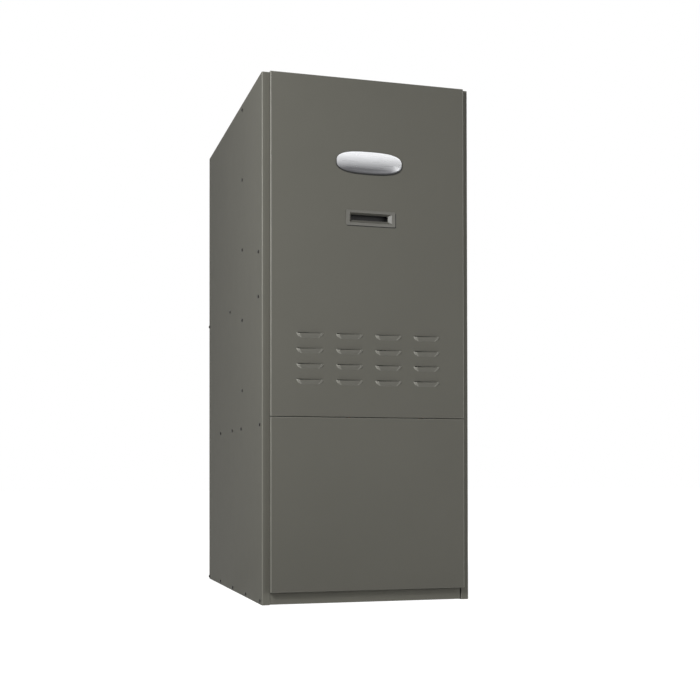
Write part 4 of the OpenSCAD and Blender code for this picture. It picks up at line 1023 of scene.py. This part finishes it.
def badge_face(badge, low, high, seat):
    """The satin face: a raised rim, a groove inside it and a dome."""
    # Painted shadow: the face stands left of and above the body's middle, and is narrower and lower, so more
    # of the dark body shows below and to the right.
    aside, up = 0.5 * MM, 1.1 * MM
    narrower, lower = 2.2 * MM, 3.4 * MM
    x, z = middle(low, high)
    mid = (x - aside, z + up)
    width, height = size_of(low, high)
    outline = (width - narrower, height - lower)

    def ring(inset, depth):
        return oval_loop(grown(outline, -2 * inset), badge.fullness, depth, mid)

    rim_top, groove = seat - 1.1 * MM, seat - 0.7 * MM
    inner = badge.rim + 0.4 * MM
    rings = [ring(0.6 * MM, seat), ring(0, seat - 0.5 * MM), ring(0.5 * MM, rim_top)]
    rings += [ring(badge.rim, rim_top), ring(inner, groove)]
    dome_foot, dome_steps, dome_curve = seat - 0.8 * MM, 14, 2.6
    reach = height / 2 - badge.rim - 2.4 * MM
    for step in range(1, dome_steps + 1):
        part = step / (dome_steps + 1)
        depth = dome_foot - (dome_foot - low.y) * (1 - (1 - part) ** dome_curve)
        rings.append(ring(inner + reach * part, depth))
    return lofted(rings)


class FURNACE_OT_screws(bpy.types.Operator):
    """Makes the hexagon-headed screws of the casing, each with its pressed washer"""

    bl_idname = "furnace.screws"
    bl_label = "Casing screws"

    def execute(self, context):
        mesh = bmesh.new()
        for low, high in solids_of("casing_screws"):
            loft(mesh, screw_loops(low, high))
        piece("screw_heads", mesh, "dark_screws", "cabinet", ("casing_screws",), math.radians(25))
        return {"FINISHED"}


def screw_loops(low, high):
    """Loops of one screw, from its point inside the casing to the hollow in its head."""
    head_height, root, point = 3 * MM, 2 * MM, 1.4 * MM
    side = math.copysign(1, low.x + high.x)
    head_x, point_x = (high.x, low.x) if side > 0 else (low.x, high.x)
    sheet_x = head_x - side * head_height
    centre = ((low.y + high.y) / 2, (low.z + high.z) / 2)
    # Each head stops at its own angle, which follows from its place
    turn = 37 * (centre[0] * 3 + centre[1] * 7)
    loops = [head_loop(point, point_x, centre), head_loop(root, sheet_x, centre)]
    for radius, out, hexagon in screw_profile((high.z - low.z) / 2):
        loops.append(head_loop(radius, sheet_x + side * out, centre, turn if hexagon else 0, hexagon))
    return loops


def screw_profile(washer):
    """Radius, distance from the sheet, and whether the loop has six sides, from washer to top."""
    across = washer * 0.84
    return [
        (washer, 0.05 * MM, False),
        (washer, 0.4 * MM, False),
        (washer * 0.9, 0.8 * MM, False),
        (across * 1.02, 0.9 * MM, False),
        (across, 1.0 * MM, True),
        (across, 2.4 * MM, True),
        (across * 0.88, 3.0 * MM, False),
        (across * 0.6, 3.0 * MM, False),
        (across * 0.5, 2.7 * MM, False),
    ]


def head_loop(radius, x, centre, turn=0, hexagon=False):
    """A circle or a hexagon in Y and Z."""
    count, half_side = 36, math.pi / 6
    points = []
    for step in range(count):
        angle = 2 * math.pi * step / count
        within = (angle + half_side) % (2 * half_side) - half_side
        reach = radius * math.cos(half_side) / math.cos(within) if hexagon else radius
        y, z = (centre[0] + reach * math.cos(angle + turn), centre[1] + reach * math.sin(angle + turn))
        points.append((x, y, z))
    return points


class FURNACE_OT_heat_exchanger(bpy.types.Operator):
    """Finishes the drums, their pipes and covers, the brackets and the shield"""

    bl_idname = "furnace.heat_exchanger"
    bl_label = "Heat exchanger"

    def execute(self, context):
        dress("drum_steel", "heat_exchanger", "radiator", "crossovers", "cleanout_covers", edge=0.6 * MM)
        dress("ceramic_fibre", "combustion_chamber", "burner_gasket", edge=0.8 * MM)
        dress("galvanised", "flue_collar", "exchanger_brackets", "radiation_shield", edge=0.3 * MM)
        dress("zinc", "cleanout_nuts", "port_frame", edge=0.5 * MM)
        dress("drum_steel", "observation_cover", edge=0.4 * MM)
        dress("black_plastic", "limit_control", edge=1 * MM)
        return {"FINISHED"}


class FURNACE_OT_burner(bpy.types.Operator):
    """Finishes the burner: its housing, motor, pump, fan, igniter, head and oil line"""

    bl_idname = "furnace.burner"
    bl_label = "Burner"

    def execute(self, context):
        dress("cast_aluminium", "burner_housing", "fuel_pump", edge=1.2 * MM)
        dress("black_enamel", "burner_motor", edge=1.5 * MM)
        dress("galvanised", "burner_flange", "air_tube", "air_shutter", "burner_fan", edge=0.4 * MM)
        dress("zinc", "burner_bolts", "retention_head", edge=0.5 * MM)
        dress("brass", "nozzle_line", edge=0.4 * MM)
        dress("copper", "oil_line", edge=0.4 * MM)
        dress("porcelain", "electrodes", edge=0.5 * MM)
        dress("black_plastic", "igniter", "flame_sensor", edge=1.2 * MM)
        dress("grey_plastic", "primary_control", edge=1.5 * MM)
        dress("red_plastic", "reset_button", edge=0.8 * MM)
        return {"FINISHED"}


class FURNACE_OT_controls(bpy.types.Operator):
    """Finishes the control box, its board, the transformer and the door switch"""

    bl_idname = "furnace.controls"
    bl_label = "Controls"

    def execute(self, context):
        dress("galvanised", "control_box", edge=0.3 * MM)
        dress("board_green", "circuit_board", edge=0.5 * MM)
        dress("black_enamel", "transformer", edge=1 * MM)
        dress("white_plastic", "door_switch", edge=0.8 * MM)
        dress("red_plastic", "switch_plunger", edge=0.6 * MM)
        return {"FINISHED"}


class FURNACE_OT_blower(bpy.types.Operator):
    """Finishes the blower and the filter below the deck"""

    bl_idname = "furnace.blower"
    bl_label = "Blower and filter"

    def execute(self, context):
        dress("galvanised", "blower_housing", "blower_wheel", "wheel_blades", edge=0.25 * MM)
        dress("galvanised", "blower_rails", "filter_rack", edge=0.25 * MM)
        dress("galvanised", "motor_mount", edge=0.6 * MM)
        dress("black_enamel", "blower_motor", edge=2 * MM)
        dress("zinc", "capacitor", edge=1 * MM)
        dress("filter_media", "air_filter", edge=0.4 * MM)
        return {"FINISHED"}


# Where each lamp stands, the point that it faces, and its width and height, in metres
LAMPS = {
    "key": ((-1.7, -1.95, 1.65), (-0.2, -0.4, 0.8), (0.5, 1.0)),
    "fill": ((1.7, -2.6, 0.5), (0.0, -0.4, 0.7), (1.6, 1.6)),
    "rear": ((1.9, 2.2, 1.9), (0.1, 0.3, 0.7), (1.6, 1.6)),
}


class FURNACE_OT_studio(bpy.types.Operator):
    """Sets the pale floor, the soft lamps, the white surroundings and the camera"""

    bl_idname = "furnace.studio"
    bl_label = "Studio"

    def execute(self, context):
        studio = context.scene.furnace_studio
        context.scene.view_settings.view_transform = "Standard"
        floor()
        surroundings(studio.sky)
        for name, (place, target, size) in LAMPS.items():
            lamp(name, place, target, size, getattr(studio, name))
        camera_data = bpy.data.cameras.new("camera")
        camera_data.lens = studio.lens
        camera_data.shift_y = studio.rise
        camera = placed("camera", camera_data)
        camera.location = studio.place
        facing = Euler((math.pi / 2 + studio.tilt, 0, -studio.turn)).to_matrix()
        camera.rotation_euler = (facing @ Matrix.Rotation(studio.roll, 3, "Z")).to_euler()
        context.scene.camera = camera
        return {"FINISHED"}


def lamp(name, place, target, size, watts):
    """A soft lamp of a width and a height, aimed at a point."""
    data = bpy.data.lights.new(name, "AREA")
    data.shape = "RECTANGLE"
    data.size, data.size_y = size
    data.energy = watts
    made = placed(name, data)
    made.location = place
    made.rotation_euler = (Vector(target) - Vector(place)).to_track_quat("-Z", "Y").to_euler()


def sees_white(tree):
    """A factor that is 1 for the rays that see the background itself."""
    path = add_node(tree, "ShaderNodeLightPath").outputs
    total = path["Is Camera Ray"]
    for name in ("Is Glossy Ray", "Is Transmission Ray"):
        both = add_node(tree, "ShaderNodeMath", {0: total, 1: path[name]}, operation="MAXIMUM")
        total = both.outputs[0]
    return total


def surroundings(strength):
    """A world that is white to look at and softer as a light."""
    world = bpy.data.worlds.new("surroundings")
    world.use_nodes = True
    tree = world.node_tree
    background = next(n for n in tree.nodes if n.type == "BACKGROUND")
    background.inputs["Color"].default_value = (1, 1, 1, 1)
    seen = add_node(tree, "ShaderNodeMix", {"Factor": sees_white(tree), "A": strength, "B": 1.0})
    tree.links.new(seen.outputs["Result"], background.inputs["Strength"])
    bpy.context.scene.world = world


def floor():
    """A wide pale floor."""
    half_size = 30
    mesh = bmesh.new()
    bmesh.ops.create_grid(mesh, x_segments=2, y_segments=2, size=half_size)
    made = meshed("floor", mesh)
    made.location.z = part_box("left_side")[0].z
    made.data.materials.append(floor_finish())
    return made


def floor_finish():
    """Pale paper that keeps the furnace's shadow and is white away from it."""
    shaded_to, white_from, shaded_glow, white_glow = 0.9, 3.0, 0.86, 1.0
    paper = Finish("floor", (0.6, 0.6, 0.6), rough=0.9, Specular_IOR_Level=0.0)
    paper.tint(paper.noise(2, 2), 0.01)
    away = paper.node("ShaderNodeVectorMath", {0: paper.place}, operation="LENGTH")
    near = {"Value": away.outputs["Value"], "From Min": shaded_to, "To Min": shaded_glow}
    brighter = paper.node("ShaderNodeMapRange", {**near, "From Max": white_from, "To Max": white_glow})
    glow = paper.node("ShaderNodeEmission", {"Strength": brighter.outputs["Result"]})
    lit = paper.shader.outputs["BSDF"]
    both = paper.node("ShaderNodeAddShader", {0: lit, 1: glow.outputs["Emission"]})
    shown = paper.node("ShaderNodeMixShader", {0: sees_white(paper.tree), 1: lit, 2: both.outputs["Shader"]})
    output = next(n for n in paper.tree.nodes if n.type == "OUTPUT_MATERIAL")
    paper.tree.links.new(shown.outputs["Shader"], output.inputs["Surface"])
    return paper.material


# Panel and registration

GROUPS = {
    "furnace_paint": FurnacePaint,
    "furnace_door": FurnaceDoor,
    "furnace_louvre": FurnaceLouvre,
    "furnace_pull": FurnacePull,
    "furnace_badge": FurnaceBadge,
    "furnace_studio": FurnaceStudio,
}

OPERATORS = (
    FURNACE_OT_finishes,
    FURNACE_OT_casing,
    FURNACE_OT_doors,
    FURNACE_OT_pull,
    FURNACE_OT_badge,
    FURNACE_OT_screws,
    FURNACE_OT_heat_exchanger,
    FURNACE_OT_burner,
    FURNACE_OT_controls,
    FURNACE_OT_blower,
    FURNACE_OT_studio,
)


class FURNACE_PT_panel(bpy.types.Panel):
    """Lists the furnace's sizes, colours and operators"""

    bl_idname = "FURNACE_PT_panel"
    bl_label = "Oil Furnace"
    bl_space_type = "VIEW_3D"
    bl_region_type = "UI"
    bl_category = "Oil Furnace"

    def draw(self, context):
        for name, group in GROUPS.items():
            box = self.layout.box()
            box.label(text=group.__name__.removeprefix("Furnace"))
            for key in group.__annotations__:
                box.prop(getattr(context.scene, name), key)
        for operator in OPERATORS:
            self.layout.operator(operator.bl_idname)


def register():
    for group in GROUPS.values():
        bpy.utils.register_class(group)
    for operator in OPERATORS:
        bpy.utils.register_class(operator)
    bpy.utils.register_class(FURNACE_PT_panel)
    for name, group in GROUPS.items():
        setattr(bpy.types.Scene, name, bpy.props.PointerProperty(type=group))


def unregister():
    for name in GROUPS:
        delattr(bpy.types.Scene, name)
    bpy.utils.unregister_class(FURNACE_PT_panel)
    for operator in reversed(OPERATORS):
        bpy.utils.unregister_class(operator)
    for group in reversed(GROUPS.values()):
        bpy.utils.unregister_class(group)


def main():
    """Builds everything in order."""
    register()
    for operator in OPERATORS:
        area, name = operator.bl_idname.split(".")
        getattr(getattr(bpy.ops, area), name)()


if __name__ == "__main__":
    main()
